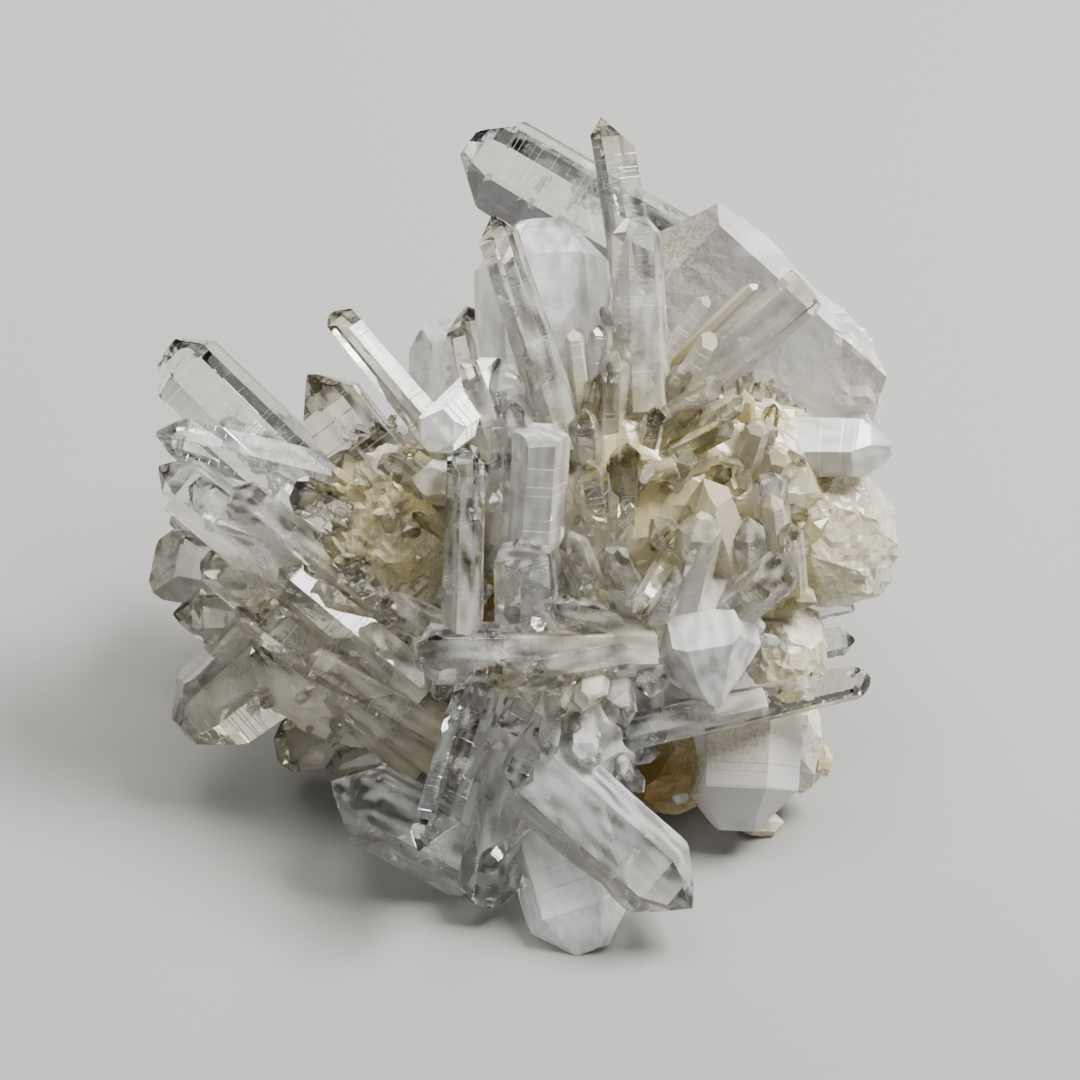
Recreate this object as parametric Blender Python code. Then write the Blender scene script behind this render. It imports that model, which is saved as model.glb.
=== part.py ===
"""A natural cluster of quartz points, grown together on a milky base, as one solid."""
import math
import random
from collections import namedtuple

import bmesh
import bpy
from mathutils import Matrix, Vector

# Sizes
MM = 0.001
OBJECT_NAME = "quartz_cluster"

# The crystals are laid out in a frame that leans back like a hand-held specimen: across to the
# right, up the leaning plane, and near, straight out of that plane. All three are millimetres.
LEAN_DEG = 38.0
LEAN_CENTRE_HEIGHT = 31.0
EYE_DISTANCE = 430.0

# Quartz: the tip faces stand at 51.8 degrees to the base plane of the crystal
TIP_FACE_DEG = 51.8
PRISM_SIDES = 6

# No two crystals grow quite alike: how far in or out a prism side may stand, as a share of its
# distance from the axis, how much a side's own taper may differ, and how far a break may tilt
SIDE_SPREAD = (0.94, 1.05)
TAPER_SPREAD = (0.6, 1.4)
BREAK_TILT = 0.16

# Where along a crystal its width is measured, from the root, as a share of its length
SHOULDER_SHARE = 0.75

# On a lump, the deepest a flat is struck, as a share of the lump's half size, and how far round
# from its even place, in radians
LUMP_DEEPEST_FLAT = 0.82
LUMP_FLAT_STRAY = 0.3

# Corners closer than this are one corner, and edges shorter than half of it are closed up
SAME_CORNER = 0.02 * MM

# Height of each tip face along the axis, as a share of the crystal's half width: 0 runs through
# the very tip, more leaves the face smaller. Faces go round the crystal in order. A seventh
# number is the height of a flat break across the tip.
SHARP = (0.0, 0.35, 0.0, 0.45, 0.0, 0.4)
EVEN = (0.0, 0.08, 0.0, 0.12, 0.05, 0.1)
CHISEL = (0.0, 0.55, 0.7, 0.0, 0.6, 0.75)
WEDGE = (-0.5, 0.35, 0.2, 0.1, 0.3, 0.15)
BLUNT = (0.2, 0.35, 0.25, 0.4, 0.2, 0.3, -0.12)
BROKEN = (0.95, 1.05, 0.9, 1.0, 0.95, 1.1, 0.0)
RIGHT_SLANT = (0.05, -0.5, 0.1, 0.3, 0.2, 0.25)
LEFT_SLANT = (0.1, 0.2, 0.3, 0.2, -0.6, -0.1)

# One crystal: where its tip and root are, how wide and thick it is, how far it is turned on its
# axis in degrees, the style of its tip, and how much it narrows towards the tip
Crystal = namedtuple(
    "Crystal",
    "tip root width thick turn style taper",
    defaults=(0.0, SHARP, 0.04),
)

LEFT_FAN = (
    Crystal((-47.0, 24.2, -2.0), (-23.0, 0.4, 1.0), 10.6, 9.0, 14.0, BLUNT, 0.02),
    Crystal((-48.1, 13.4, 2.0), (-16.0, 5.0, 2.0), 7.2, 6.4, 30.0, EVEN, 0.02),
    Crystal((-47.6, 9.6, 4.0), (-22.0, -11.0, 4.0), 8.6, 7.6, 10.0, EVEN, 0.02),
    Crystal((-39.2, 6.6, 7.4), (-19.0, -9.0, 5.0), 6.2, 5.2, 24.0, WEDGE, 0.02),
    Crystal((-31.0, 6.2, 8.6), (-15.0, -1.0, 4.0), 5.2, 4.6, 0.0, CHISEL, 0.02),
    Crystal((-29.0, 20.8, 4.0), (-14.0, 1.0, 3.0), 9.6, 8.0, 20.0, EVEN, 0.02),
    Crystal((-26.2, 29.0, 0.0), (-11.0, 11.0, 2.0), 4.9, 4.6, 30.0, WEDGE, 0.02),
    Crystal((-12.4, 28.1, -8.0), (-11.5, 9.0, -3.0), 9.0, 8.0, 15.0),
    Crystal((-9.2, 29.6, -3.0), (-5.0, 12.0, 0.0), 7.4, 6.5, 10.0, EVEN, 0.02),
    Crystal((-48.4, -2.6, -20.0), (-20.0, -6.0, -12.0), 11.0, 9.0, 14.0, CHISEL),
    Crystal((-46.6, 2.6, -17.0), (-22.0, -1.0, -9.0), 5.0, 4.4, 0.0, EVEN),
    Crystal((-42.4, -1.4, 3.0), (-12.5, -25.0, 5.0), 6.6, 4.6, 6.0, WEDGE, 0.02),
    Crystal((-38.0, -7.4, 5.0), (-10.5, -28.6, 6.0), 5.6, 4.0, 20.0, WEDGE, 0.0),
    Crystal((-36.0, -10.4, 3.0), (-14.0, -28.0, 4.0), 6.6, 4.4, 0.0, WEDGE, 0.0),
    Crystal((-45.0, -24.6, -3.0), (-27.0, -9.0, -6.0), 13.0, 11.5, 12.0, BLUNT, 0.08),
    Crystal((-34.4, -26.0, -10.0), (-9.0, -21.0, -8.0), 9.0, 7.5, 20.0, WEDGE),
    Crystal((-46.0, -9.4, -11.0), (-20.0, -8.0, -9.0), 8.5, 7.5, 5.0, EVEN),
    Crystal((-27.0, -28.8, -8.0), (-6.0, -20.0, -4.0), 6.0, 5.5, 30.0),
    Crystal((-33.0, -3.0, 7.4), (-14.0, -19.0, 7.0), 6.0, 4.6, 30.0, EVEN, 0.02),
    Crystal((-27.0, 0.6, 11.5), (-22.0, -6.0, 7.0), 2.2, 2.0, 0.0),
    Crystal((-24.4, -2.2, 13.0), (-18.0, -9.0, 6.0), 4.4, 4.0, 30.0, EVEN),
    Crystal((-19.9, -7.2, 13.6), (-10.0, -12.5, 9.0), 4.2, 3.8, 0.0, WEDGE),
    Crystal((-16.0, 3.4, 14.0), (-9.5, -1.0, 10.0), 1.5, 1.4, 0.0),
    Crystal((-30.0, -14.0, 7.4), (-12.0, -24.0, 7.0), 5.0, 4.0, 0.0, EVEN, 0.02),
    Crystal((-13.0, -20.4, 12.0), (-10.0, -12.0, 8.0), 2.6, 2.4, 0.0, EVEN),
    Crystal((-20.0, 10.4, 9.4), (-13.0, 4.0, 5.0), 5.4, 4.6, 10.0, BLUNT),
)

TOP_SPRAY = (
    Crystal((-9.4, 49.6, -12.0), (17.6, 33.8, -9.0), 13.2, 11.5, 12.0, BLUNT, 0.0),
    Crystal((8.4, 53.4, 4.0), (13.6, 22.0, 4.0), 6.6, 6.0, 30.0, RIGHT_SLANT, 0.01),
    Crystal((11.9, 40.8, 8.0), (12.8, 16.0, 7.0), 6.8, 6.0, 8.0, BLUNT, 0.02),
    Crystal((-5.9, 40.6, 8.0), (3.6, 11.0, 9.0), 5.8, 5.4, 14.0, EVEN, 0.0),
    Crystal((-0.2, 41.0, -1.0), (1.4, 13.0, 0.0), 17.6, 13.0, 4.0, BLUNT, 0.02),
    Crystal((-14.8, 11.8, 13.5), (-5.0, 20.0, 5.0), 6.2, 5.0, 0.0, WEDGE),
    Crystal((-9.4, 22.9, 10.5), (-5.2, 10.0, 9.0), 2.9, 2.6, 10.0),
    Crystal((-5.2, 23.0, 8.0), (-2.0, 11.0, 6.0), 7.0, 6.4, 0.0, EVEN),
    Crystal((0.2, 13.6, 15.5), (-1.2, -6.0, 9.0), 7.4, 7.0, 2.0, BROKEN, 0.0),
    Crystal((-3.3, 17.4, 14.5), (-4.2, 0.0, 9.0), 5.4, 4.6, 15.0, SHARP, 0.02),
    Crystal((-2.1, -1.6, 17.6), (-1.4, -13.0, 10.0), 8.0, 7.0, 20.0, BROKEN),
    Crystal((-9.2, 12.1, 15.5), (-9.9, -13.5, 16.0), 5.2, 5.0, 12.0, WEDGE, 0.0),
    Crystal((-16.1, 7.6, 14.5), (-8.0, 6.6, 8.0), 5.6, 5.0, 0.0),
    Crystal((10.9, 12.2, 15.5), (9.6, 0.0, 8.0), 4.8, 4.4, 18.0),
    Crystal((6.2, 9.8, 15.0), (7.4, 0.0, 8.0), 4.6, 4.2, 0.0, BLUNT),
    Crystal((9.4, 23.9, 12.0), (8.6, 11.0, 7.0), 4.2, 3.9, 0.0, EVEN),
    Crystal((4.1, 26.4, 8.0), (6.0, 14.0, 6.0), 3.0, 2.8, 0.0),
    Crystal((7.3, 27.0, 8.0), (6.6, 14.0, 6.0), 2.8, 2.6, 20.0),
)

CENTRE_SPRAY = (
    Crystal((23.0, 20.1, 11.5), (10.0, 11.0, 7.0), 3.6, 3.3, 30.0, WEDGE, 0.02),
    Crystal((24.4, 14.5, 12.5), (12.0, 8.5, 7.0), 3.1, 3.0, 0.0, WEDGE, 0.02),
    Crystal((12.2, 7.8, 14.4), (21.0, 10.2, 7.0), 3.3, 3.2, 30.0, CHISEL),
    Crystal((25.8, 17.8, 9.5), (15.0, 11.5, 6.0), 3.2, 3.0, 0.0, EVEN),
    Crystal((27.6, 14.8, 10.5), (24.6, 7.0, 4.0), 3.4, 3.0, 0.0, BLUNT),
    Crystal((30.4, 11.3, 9.5), (26.5, 4.0, 3.0), 3.6, 3.2, 10.0, BLUNT),
    Crystal((20.6, 7.6, 14.0), (24.6, -5.0, 5.0), 6.2, 5.0, 30.0, EVEN),
    Crystal((28.8, 8.3, 10.0), (29.2, -2.0, 4.0), 4.4, 4.0, 0.0, CHISEL),
    Crystal((29.0, 5.7, 11.0), (30.0, -4.0, 4.0), 3.2, 3.0, 20.0, EVEN),
    Crystal((31.3, 2.3, 10.8), (31.4, -6.0, 4.0), 3.4, 3.2, 0.0, EVEN),
    Crystal((26.0, 3.0, 11.5), (26.5, -8.0, 5.0), 5.0, 4.4, 25.0, EVEN),
    Crystal((31.0, -2.9, 10.5), (19.6, -12.0, 7.0), 6.4, 5.6, 4.0, CHISEL, 0.0),
    Crystal((20.6, 3.4, 15.6), (17.6, -9.0, 8.0), 6.0, 5.6, 12.0, BLUNT, 0.0),
    Crystal((11.9, -9.2, 17.0), (17.0, -1.5, 9.0), 3.0, 2.8, 0.0, WEDGE),
    Crystal((1.4, -8.2, 18.0), (8.6, -10.8, 10.0), 4.2, 3.8, 10.0, EVEN),
    Crystal((14.0, 2.6, 15.0), (20.0, -4.0, 7.0), 4.4, 4.0, 0.0, EVEN),
    Crystal((8.6, -1.2, 16.0), (12.0, -8.0, 8.0), 4.6, 4.2, 15.0, BLUNT),
    Crystal((3.6, 1.2, 15.6), (6.6, -8.0, 8.0), 4.0, 3.6, 0.0, EVEN),
    Crystal((17.0, -3.2, 15.0), (14.0, -12.0, 8.0), 3.6, 3.2, 0.0, SHARP),
    Crystal((14.8, 17.0, 11.5), (12.0, 7.0, 6.0), 3.4, 3.0, 10.0, SHARP),
    Crystal((18.6, 22.4, 9.5), (13.0, 12.0, 5.0), 3.0, 2.8, 0.0, SHARP),
    Crystal((5.6, 16.6, 13.0), (6.2, 5.0, 7.0), 4.4, 4.0, 0.0, EVEN),
    Crystal((21.8, 26.0, 8.5), (14.0, 14.0, 4.0), 3.0, 2.6, 20.0, WEDGE),
    Crystal((19.0, 11.6, 12.6), (15.0, 4.0, 6.0), 3.6, 3.2, 10.0, EVEN),
)

FRONT_POINTS = (
    Crystal((-16.4, -14.2, 18.0), (13.4, -13.8, 8.6), 8.0, 7.6, 22.0, BLUNT, 0.0),
    Crystal((-6.4, -17.6, 19.6), (13.6, -13.8, 9.6), 5.0, 4.2, 8.0, WEDGE, 0.02),
    Crystal((8.1, -24.8, 9.5), (28.0, -20.3, 7.0), 4.9, 4.6, 14.0, SHARP, 0.0),
    Crystal((41.5, -17.2, 5.0), (20.0, -22.1, 7.5), 4.8, 4.5, 14.0, SHARP, 0.0),
    Crystal((35.4, -15.2, 7.0), (32.6, -20.4, 5.5), 1.7, 1.2, 0.0),
    Crystal((24.8, -37.2, 1.0), (25.6, -20.0, -1.0), 14.6, 11.5, 12.0, BLUNT, 0.0),
    Crystal((17.2, -33.2, -1.0), (19.0, -24.0, -3.0), 3.2, 1.8, 0.0),
    Crystal((-26.2, -30.2, 10.0), (-8.0, -40.0, 4.0), 10.8, 9.6, 14.0, EVEN, 0.0),
    Crystal((-6.9, -46.4, 11.0), (-4.0, -27.0, 6.0), 8.4, 7.8, 4.0, BLUNT, 0.0),
    Crystal((-14.3, -39.9, 20.0), (-6.6, -15.0, 12.0), 6.3, 6.0, 30.0, LEFT_SLANT, 0.0),
    Crystal((19.3, -46.2, 16.5), (-0.5, -29.0, 11.0), 11.4, 9.0, 0.0, EVEN, 0.0),
    Crystal((6.6, -52.4, 13.0), (0.6, -31.0, 3.0), 13.6, 10.5, 6.0, BLUNT, 0.0),
    Crystal((-7.2, -41.2, 14.0), (-2.4, -36.0, 9.0), 3.2, 2.8, 0.0),
    Crystal((12.8, -31.4, 13.0), (9.0, -27.0, 7.0), 2.6, 2.4, 0.0),
    Crystal((39.5, -12.4, -13.0), (27.0, -14.5, -11.0), 4.2, 3.8, 0.0, EVEN),
    Crystal((39.4, -8.0, -12.0), (28.0, -10.4, -9.0), 2.2, 1.8, 0.0, CHISEL),
    Crystal((22.0, -21.0, 12.6), (19.0, -6.0, 4.0), 14.0, 9.6, 0.0, EVEN, 0.0),
)

# Small sparkling points that crowd the gap above the bottom crystals
GAP_POINTS = (
    Crystal((-4.0, -24.0, 18.0), (0.0, -17.0, 9.0), 4.0, 3.6, 0.0, EVEN),
    Crystal((1.0, -22.5, 18.5), (3.0, -15.0, 9.0), 4.4, 4.0, 20.0, EVEN),
    Crystal((6.2, -21.4, 17.5), (7.0, -14.0, 9.0), 4.2, 3.8, 0.0, SHARP),
    Crystal((10.4, -23.4, 15.0), (9.0, -15.0, 8.0), 4.4, 4.0, 0.0, EVEN),
    Crystal((-3.5, -31.0, 16.4), (1.0, -22.0, 7.0), 4.8, 4.2, 10.0, SHARP),
    Crystal((5.5, -27.4, 16.0), (5.0, -18.0, 7.0), 4.0, 3.6, 0.0, SHARP),
    Crystal((13.8, -19.6, 13.0), (14.0, -12.0, 6.0), 4.6, 4.2, 0.0, EVEN),
    Crystal((13.5, -28.0, 8.0), (13.0, -18.0, 3.0), 4.8, 4.4, 20.0, BLUNT),
    Crystal((0.8, -27.0, 17.0), (2.0, -18.0, 8.0), 3.2, 3.0, 30.0, EVEN),
)

RIGHT_POINTS = (
    Crystal((33.4, 31.6, 5.5), (12.0, 13.5, 0.0), 6.4, 4.0, 6.0, BROKEN, 0.0),
    Crystal((21.0, 30.6, 8.6), (11.0, 16.5, 5.5), 2.6, 2.4, 30.0, SHARP, 0.02),
    Crystal((27.2, 32.2, 7.4), (14.0, 19.5, 3.5), 1.7, 1.6, 0.0, SHARP, 0.0),
    Crystal((44.8, 11.4, 3.0), (22.0, 11.6, -3.0), 8.8, 8.6, 30.0, EVEN, 0.0),
)

# Crystals out of sight from the front: they fan out behind and at both ends of the cluster
BACK_POINTS = (
    Crystal((-26.0, 12.0, -31.0), (-6.0, 2.0, -12.0), 8.0, 7.0, 10.0, EVEN),
    Crystal((-41.0, 13.0, -24.0), (-14.0, -1.0, -10.0), 7.0, 6.4, 25.0),
    Crystal((-2.0, 33.0, -29.0), (0.0, 12.0, -12.0), 7.4, 6.6, 0.0, CHISEL),
    Crystal((-44.0, 6.0, -20.0), (-18.0, -4.0, -12.0), 7.4, 6.6, 12.0),
    Crystal((-4.0, 27.0, -38.0), (2.0, 8.0, -16.0), 7.0, 6.4, 15.0, EVEN),
    Crystal((-19.0, 13.0, -38.0), (-6.0, 0.0, -16.0), 9.0, 8.0, 5.0, EVEN),
    Crystal((-33.0, 6.0, -33.0), (-12.0, -4.0, -18.0), 6.6, 6.0, 20.0),
    Crystal((12.0, 22.0, -44.0), (8.0, 4.0, -18.0), 10.0, 9.0, 10.0, CHISEL),
    Crystal((0.0, 15.0, -45.0), (2.0, 0.0, -20.0), 6.6, 6.0, 0.0),
    Crystal((-12.0, 7.0, -42.0), (-2.0, -6.0, -20.0), 7.4, 6.6, 25.0, EVEN),
    Crystal((24.0, 12.0, -43.0), (14.0, 0.0, -18.0), 7.0, 6.4, 12.0),
    Crystal((36.0, 14.0, -32.0), (20.0, 2.0, -14.0), 8.6, 7.6, 0.0, EVEN),
    Crystal((40.0, 2.0, -26.0), (20.0, -4.0, -14.0), 6.4, 5.8, 18.0),
    Crystal((-24.0, -5.0, -36.0), (-8.0, -9.0, -20.0), 7.0, 6.0, 8.0, EVEN),
    Crystal((-36.0, -8.0, -27.0), (-16.0, -11.0, -17.0), 6.0, 5.4, 0.0),
    Crystal((8.0, 4.0, -46.0), (6.0, -8.0, -22.0), 6.0, 5.6, 20.0),
    Crystal((30.0, 24.0, -36.0), (18.0, 10.0, -12.0), 6.0, 5.4, 5.0),
    Crystal((20.0, 33.0, -33.0), (14.0, 16.0, -12.0), 7.6, 6.8, 20.0, EVEN),
    Crystal((5.0, 27.0, -41.0), (6.0, 8.0, -18.0), 4.6, 4.2, 0.0),
    Crystal((-28.0, 14.0, -31.0), (-10.0, 0.0, -16.0), 4.4, 4.0, 0.0),
    Crystal((17.0, 14.0, -46.0), (12.0, 0.0, -22.0), 4.2, 3.8, 30.0),
)

# Rough milky quartz the crystals grow from: centre, half sizes, number of flats, seed
Lump = namedtuple("Lump", "centre half flats seed")
LUMPS = (
    Lump((2.0, -17.0, -18.6), (23.0, 16.0, 16.0), 26, 5),
    Lump((2.0, -6.0, -8.0), (27.0, 23.0, 19.0), 36, 3),
    Lump((-18.4, 1.0, 1.6), (8.8, 13.5, 9.6), 26, 11),
    Lump((8.0, 5.0, 2.0), (20.0, 14.0, 10.6), 30, 7),
    Lump((-24.0, -14.0, -1.0), (13.0, 12.0, 8.0), 24, 23),
    Lump((2.0, -24.0, 5.0), (11.0, 10.0, 9.0), 24, 61),
    Lump((36.2, 0.6, -4.0), (8.6, 9.0, 8.0), 26, 41),
    Lump((27.0, -1.0, -2.0), (9.0, 9.0, 8.0), 22, 13),
    Lump((30.6, -14.0, -3.0), (5.2, 6.6, 5.4), 22, 17),
    Lump((18.0, -10.4, 3.0), (10.0, 9.4, 8.0), 22, 29),
    Lump((33.0, -26.0, -3.0), (2.6, 5.6, 2.8), 18, 31),
    Lump((27.6, -35.6, -3.4), (2.8, 1.6, 2.2), 16, 37),
    Lump((35.4, -27.6, -2.4), (1.1, 1.9, 1.4), 14, 43),
    Lump((24.0, 8.0, -3.0), (13.0, 11.0, 9.0), 24, 53),
    Lump((15.5, -26.6, -5.6), (8.0, 7.4, 8.0), 20, 59),
    Lump((-8.0, -34.0, 4.0), (7.0, 6.0, 5.0), 18, 67),
    Lump((24.0, 13.0, -14.0), (15.0, 17.0, 11.0), 26, 71),
    Lump((7.0, 19.0, -4.0), (9.0, 13.0, 8.0), 22, 73),
)

# The thick milky slab: its outline across and up, how far it leans, how thick it is
SLAB_OUTLINE = (
    (14.4, 40.9),
    (20.0, 42.5),
    (22.8, 43.3),
    (25.6, 41.8),
    (28.1, 40.0),
    (30.6, 37.8),
    (32.3, 35.0),
    (34.4, 32.9),
    (36.3, 31.5),
    (38.5, 29.8),
    (40.0, 28.1),
    (42.5, 24.6),
    (43.3, 21.5),
    (43.1, 18.8),
    (41.9, 16.0),
    (38.0, 6.0),
    (12.0, 0.0),
    (11.0, 22.0),
)
SLAB_NEAR_AT_ZERO = -14.0
SLAB_LEAN = 0.47
SLAB_THICK = 15.0
SLAB_BACK_SHRINK = 0.97

# Facets struck off the slab, front and back: a place on each (across, up, near) and the way
# it faces
SLAB_FACETS = (
    ((26.0, 39.8, 4.6), (0.34, 0.42, 1.0)),
    ((38.6, 25.0, -2.4), (0.5, 0.1, 1.0)),
    ((18.0, 34.0, 2.4), (-0.5, 0.0, 1.0)),
    ((26.0, 42.0, -12.0), (0.3, 0.6, -1.0)),
    ((42.0, 22.0, -16.0), (0.8, 0.1, -1.0)),
    ((26.0, 22.0, -20.0), (0.1, 0.1, -1.0)),
    ((36.0, 33.0, -14.0), (0.6, 0.5, -1.0)),
)


def lean_direction(across, up, near):
    """A direction of the leaning frame as a direction in the world."""
    lean = math.radians(LEAN_DEG)
    depth = math.sin(lean) * up - math.cos(lean) * near
    height = math.cos(lean) * up + math.sin(lean) * near
    return Vector((across, depth, height))


def lean_point(across, up, near):
    """A place in the leaning frame as a place in the world, in metres."""
    spread = (EYE_DISTANCE - near) / EYE_DISTANCE
    place = lean_direction(across * spread, up * spread, near)
    place.z += LEAN_CENTRE_HEIGHT
    return place * MM


def new_object(name, mesh_data):
    """Turn finished mesh data into an object in the scene."""
    mesh = bpy.data.meshes.new(name)
    mesh_data.to_mesh(mesh)
    mesh_data.free()
    obj = bpy.data.objects.new(name, mesh)
    bpy.context.scene.collection.objects.link(obj)
    return obj


def cut_flat(mesh_data, place, normal):
    """Take off all that stands outside a plane and close the cut with one flat face."""
    geometry = mesh_data.verts[:] + mesh_data.edges[:] + mesh_data.faces[:]
    cut = bmesh.ops.bisect_plane(
        mesh_data,
        geom=geometry,
        dist=1e-7,
        plane_co=place,
        plane_no=normal,
        clear_outer=True,
    )
    edges = [item for item in cut["geom_cut"] if isinstance(item, bmesh.types.BMEdge)]
    open_edges = [edge for edge in edges if edge.is_boundary]
    if open_edges:
        bmesh.ops.edgeloop_fill(mesh_data, edges=open_edges)


def add_crystal(name, crystal, seed):
    """A six-sided quartz prism with its six tip faces, cut out of a block."""
    rng = random.Random(seed)
    tip = lean_point(*crystal.tip)
    root = lean_point(*crystal.root)
    length = (tip - root).length
    axis = (tip - root).normalized()
    towards_eye = lean_direction(0.0, 0.0, 1.0)
    front = (towards_eye - towards_eye.dot(axis) * axis).normalized()
    side = axis.cross(front)
    half_width = crystal.width * MM / 2.0
    half_thick = crystal.thick * MM / 2.0
    mesh_data = bmesh.new()
    bmesh.ops.create_cube(mesh_data, size=2.0)
    half_height = length / 2.0 + half_width
    stretch = Matrix.Diagonal((half_width * 2.0, half_width * 2.0, half_height)).to_4x4()
    lift = Matrix.Translation((0.0, 0.0, half_height))
    bmesh.ops.transform(mesh_data, matrix=lift @ stretch, verts=mesh_data.verts)
    for number in range(PRISM_SIDES):
        turn = math.radians(number * 360.0 / PRISM_SIDES)
        outward = Vector((math.cos(turn), math.sin(turn), 0.0))
        flat_side = number % 3 == 0
        reach = half_thick if flat_side else half_width * math.cos(math.radians(30.0))
        reach *= rng.uniform(*SIDE_SPREAD)
        lean_in = outward + Vector((0.0, 0.0, crystal.taper * rng.uniform(*TAPER_SPREAD)))
        shoulder = Vector((0.0, 0.0, length * SHOULDER_SHARE))
        cut_flat(mesh_data, outward * reach + shoulder, lean_in.normalized())
    steep = math.radians(TIP_FACE_DEG)
    for number in range(PRISM_SIDES):
        turn = math.radians(number * 360.0 / PRISM_SIDES)
        outward = Vector((math.cos(turn), math.sin(turn), 0.0))
        normal = outward * math.sin(steep) + Vector((0.0, 0.0, math.cos(steep)))
        height = length + crystal.style[number] * half_width
        cut_flat(mesh_data, Vector((0.0, 0.0, height)), normal)
    if len(crystal.style) > PRISM_SIDES:
        height = length + crystal.style[PRISM_SIDES] * half_width
        tilt = Vector((rng.uniform(-BREAK_TILT, BREAK_TILT), rng.uniform(-BREAK_TILT, BREAK_TILT), 1.0))
        cut_flat(mesh_data, Vector((0.0, 0.0, height)), tilt.normalized())
    turned = Matrix.Rotation(math.radians(crystal.turn), 4, "Z")
    frame = Matrix((front, side, axis)).transposed().to_4x4()
    placed = Matrix.Translation(root) @ frame @ turned
    bmesh.ops.transform(mesh_data, matrix=placed, verts=mesh_data.verts)
    bmesh.ops.recalc_face_normals(mesh_data, faces=mesh_data.faces)
    return new_object(name, mesh_data)


def add_lump(name, lump):
    """A rough block of broken quartz: a box with flats struck off all round."""
    rng = random.Random(lump.seed)
    mesh_data = bmesh.new()
    bmesh.ops.create_cube(mesh_data, size=2.0)
    golden = math.pi * (3.0 - math.sqrt(5.0))
    for number in range(lump.flats):
        height = 1.0 - 2.0 * (number + 0.5) / lump.flats
        ring = math.sqrt(1.0 - height * height)
        turn = number * golden + rng.uniform(-LUMP_FLAT_STRAY, LUMP_FLAT_STRAY)
        normal = Vector((ring * math.cos(turn), ring * math.sin(turn), height))
        cut_flat(mesh_data, normal * rng.uniform(LUMP_DEEPEST_FLAT, 1.0), normal)
    centre = lean_point(*lump.centre)
    axes = (
        lean_direction(1.0, 0.0, 0.0) * lump.half[0] * MM,
        lean_direction(0.0, 1.0, 0.0) * lump.half[1] * MM,
        lean_direction(0.0, 0.0, 1.0) * lump.half[2] * MM,
    )
    placed = Matrix.Translation(centre) @ Matrix(axes).transposed().to_4x4()
    bmesh.ops.transform(mesh_data, matrix=placed, verts=mesh_data.verts)
    bmesh.ops.recalc_face_normals(mesh_data, faces=mesh_data.faces)
    return new_object(name, mesh_data)


def add_slab(name):
    """The thick milky slab, its outline pushed back along the lean and drawn in behind."""
    mesh_data = bmesh.new()
    front_corners = []
    for across, up in SLAB_OUTLINE:
        near = SLAB_NEAR_AT_ZERO + SLAB_LEAN * up
        front_corners.append(mesh_data.verts.new(lean_point(across, up, near)))
    face = mesh_data.faces.new(front_corners)
    pushed = bmesh.ops.extrude_face_region(mesh_data, geom=[face])
    back_corners = [item for item in pushed["geom"] if isinstance(item, bmesh.types.BMVert)]
    back_way = lean_direction(0.0, -SLAB_LEAN, -1.0) * SLAB_THICK * MM
    bmesh.ops.translate(mesh_data, vec=back_way, verts=back_corners)
    middle = sum((corner.co for corner in back_corners), Vector()) / len(back_corners)
    for corner in back_corners:
        corner.co = middle + (corner.co - middle) * SLAB_BACK_SHRINK
    bmesh.ops.recalc_face_normals(mesh_data, faces=mesh_data.faces)
    for place, way in SLAB_FACETS:
        cut_flat(mesh_data, lean_point(*place), lean_direction(*way).normalized())
    bmesh.ops.recalc_face_normals(mesh_data, faces=mesh_data.faces)
    return new_object(name, mesh_data)


def grow_together(name, pieces):
    """Join all the pieces into one solid and clear the pieces away."""
    first = pieces[0]
    for piece in pieces[1:]:
        join = first.modifiers.new("join", "BOOLEAN")
        join.operation = "UNION"
        join.solver = "EXACT"
        join.object = piece
        piece.display_type = "WIRE"
        piece.hide_render = True
    graph = bpy.context.evaluated_depsgraph_get()
    joined = bpy.data.meshes.new_from_object(first.evaluated_get(graph))
    result = bpy.data.objects.new(name, joined)
    bpy.context.scene.collection.objects.link(result)
    for piece in pieces:
        bpy.data.objects.remove(piece, do_unlink=True)
    return result


def tidy_solid(obj):
    """Cut the base flat, keep only the outer skin, and stand the solid on the ground plane."""
    mesh_data = bmesh.new()
    mesh_data.from_mesh(obj.data)
    cut_flat(mesh_data, Vector((0.0, 0.0, 0.0)), Vector((0.0, 0.0, -1.0)))
    bmesh.ops.remove_doubles(mesh_data, verts=mesh_data.verts, dist=SAME_CORNER)
    bmesh.ops.dissolve_degenerate(mesh_data, edges=mesh_data.edges, dist=SAME_CORNER / 2.0)
    bmesh.ops.triangulate(mesh_data, faces=mesh_data.faces)
    skins = outer_skins(mesh_data)
    skins.sort(key=len)
    for skin in skins[:-1]:
        bmesh.ops.delete(mesh_data, geom=skin, context="FACES")
    mesh_data.to_mesh(obj.data)
    mesh_data.free()


def outer_skins(mesh_data):
    """The separate skins of the mesh, each a list of faces joined edge to edge."""
    left = set(mesh_data.faces)
    skins = []
    while left:
        start = left.pop()
        skin = [start]
        waiting = [start]
        while waiting:
            face = waiting.pop()
            for edge in face.edges:
                for other in edge.link_faces:
                    if other in left:
                        left.remove(other)
                        skin.append(other)
                        waiting.append(other)
        skins.append(skin)
    return skins


def stand_at_origin(obj):
    """Put the middle of the base on the origin."""
    corners = [vert.co for vert in obj.data.vertices]
    low = Vector([min(corner[axis] for corner in corners) for axis in range(3)])
    high = Vector([max(corner[axis] for corner in corners) for axis in range(3)])
    shift = Vector(((low.x + high.x) / 2.0, (low.y + high.y) / 2.0, low.z))
    obj.data.transform(Matrix.Translation(-shift))


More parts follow.
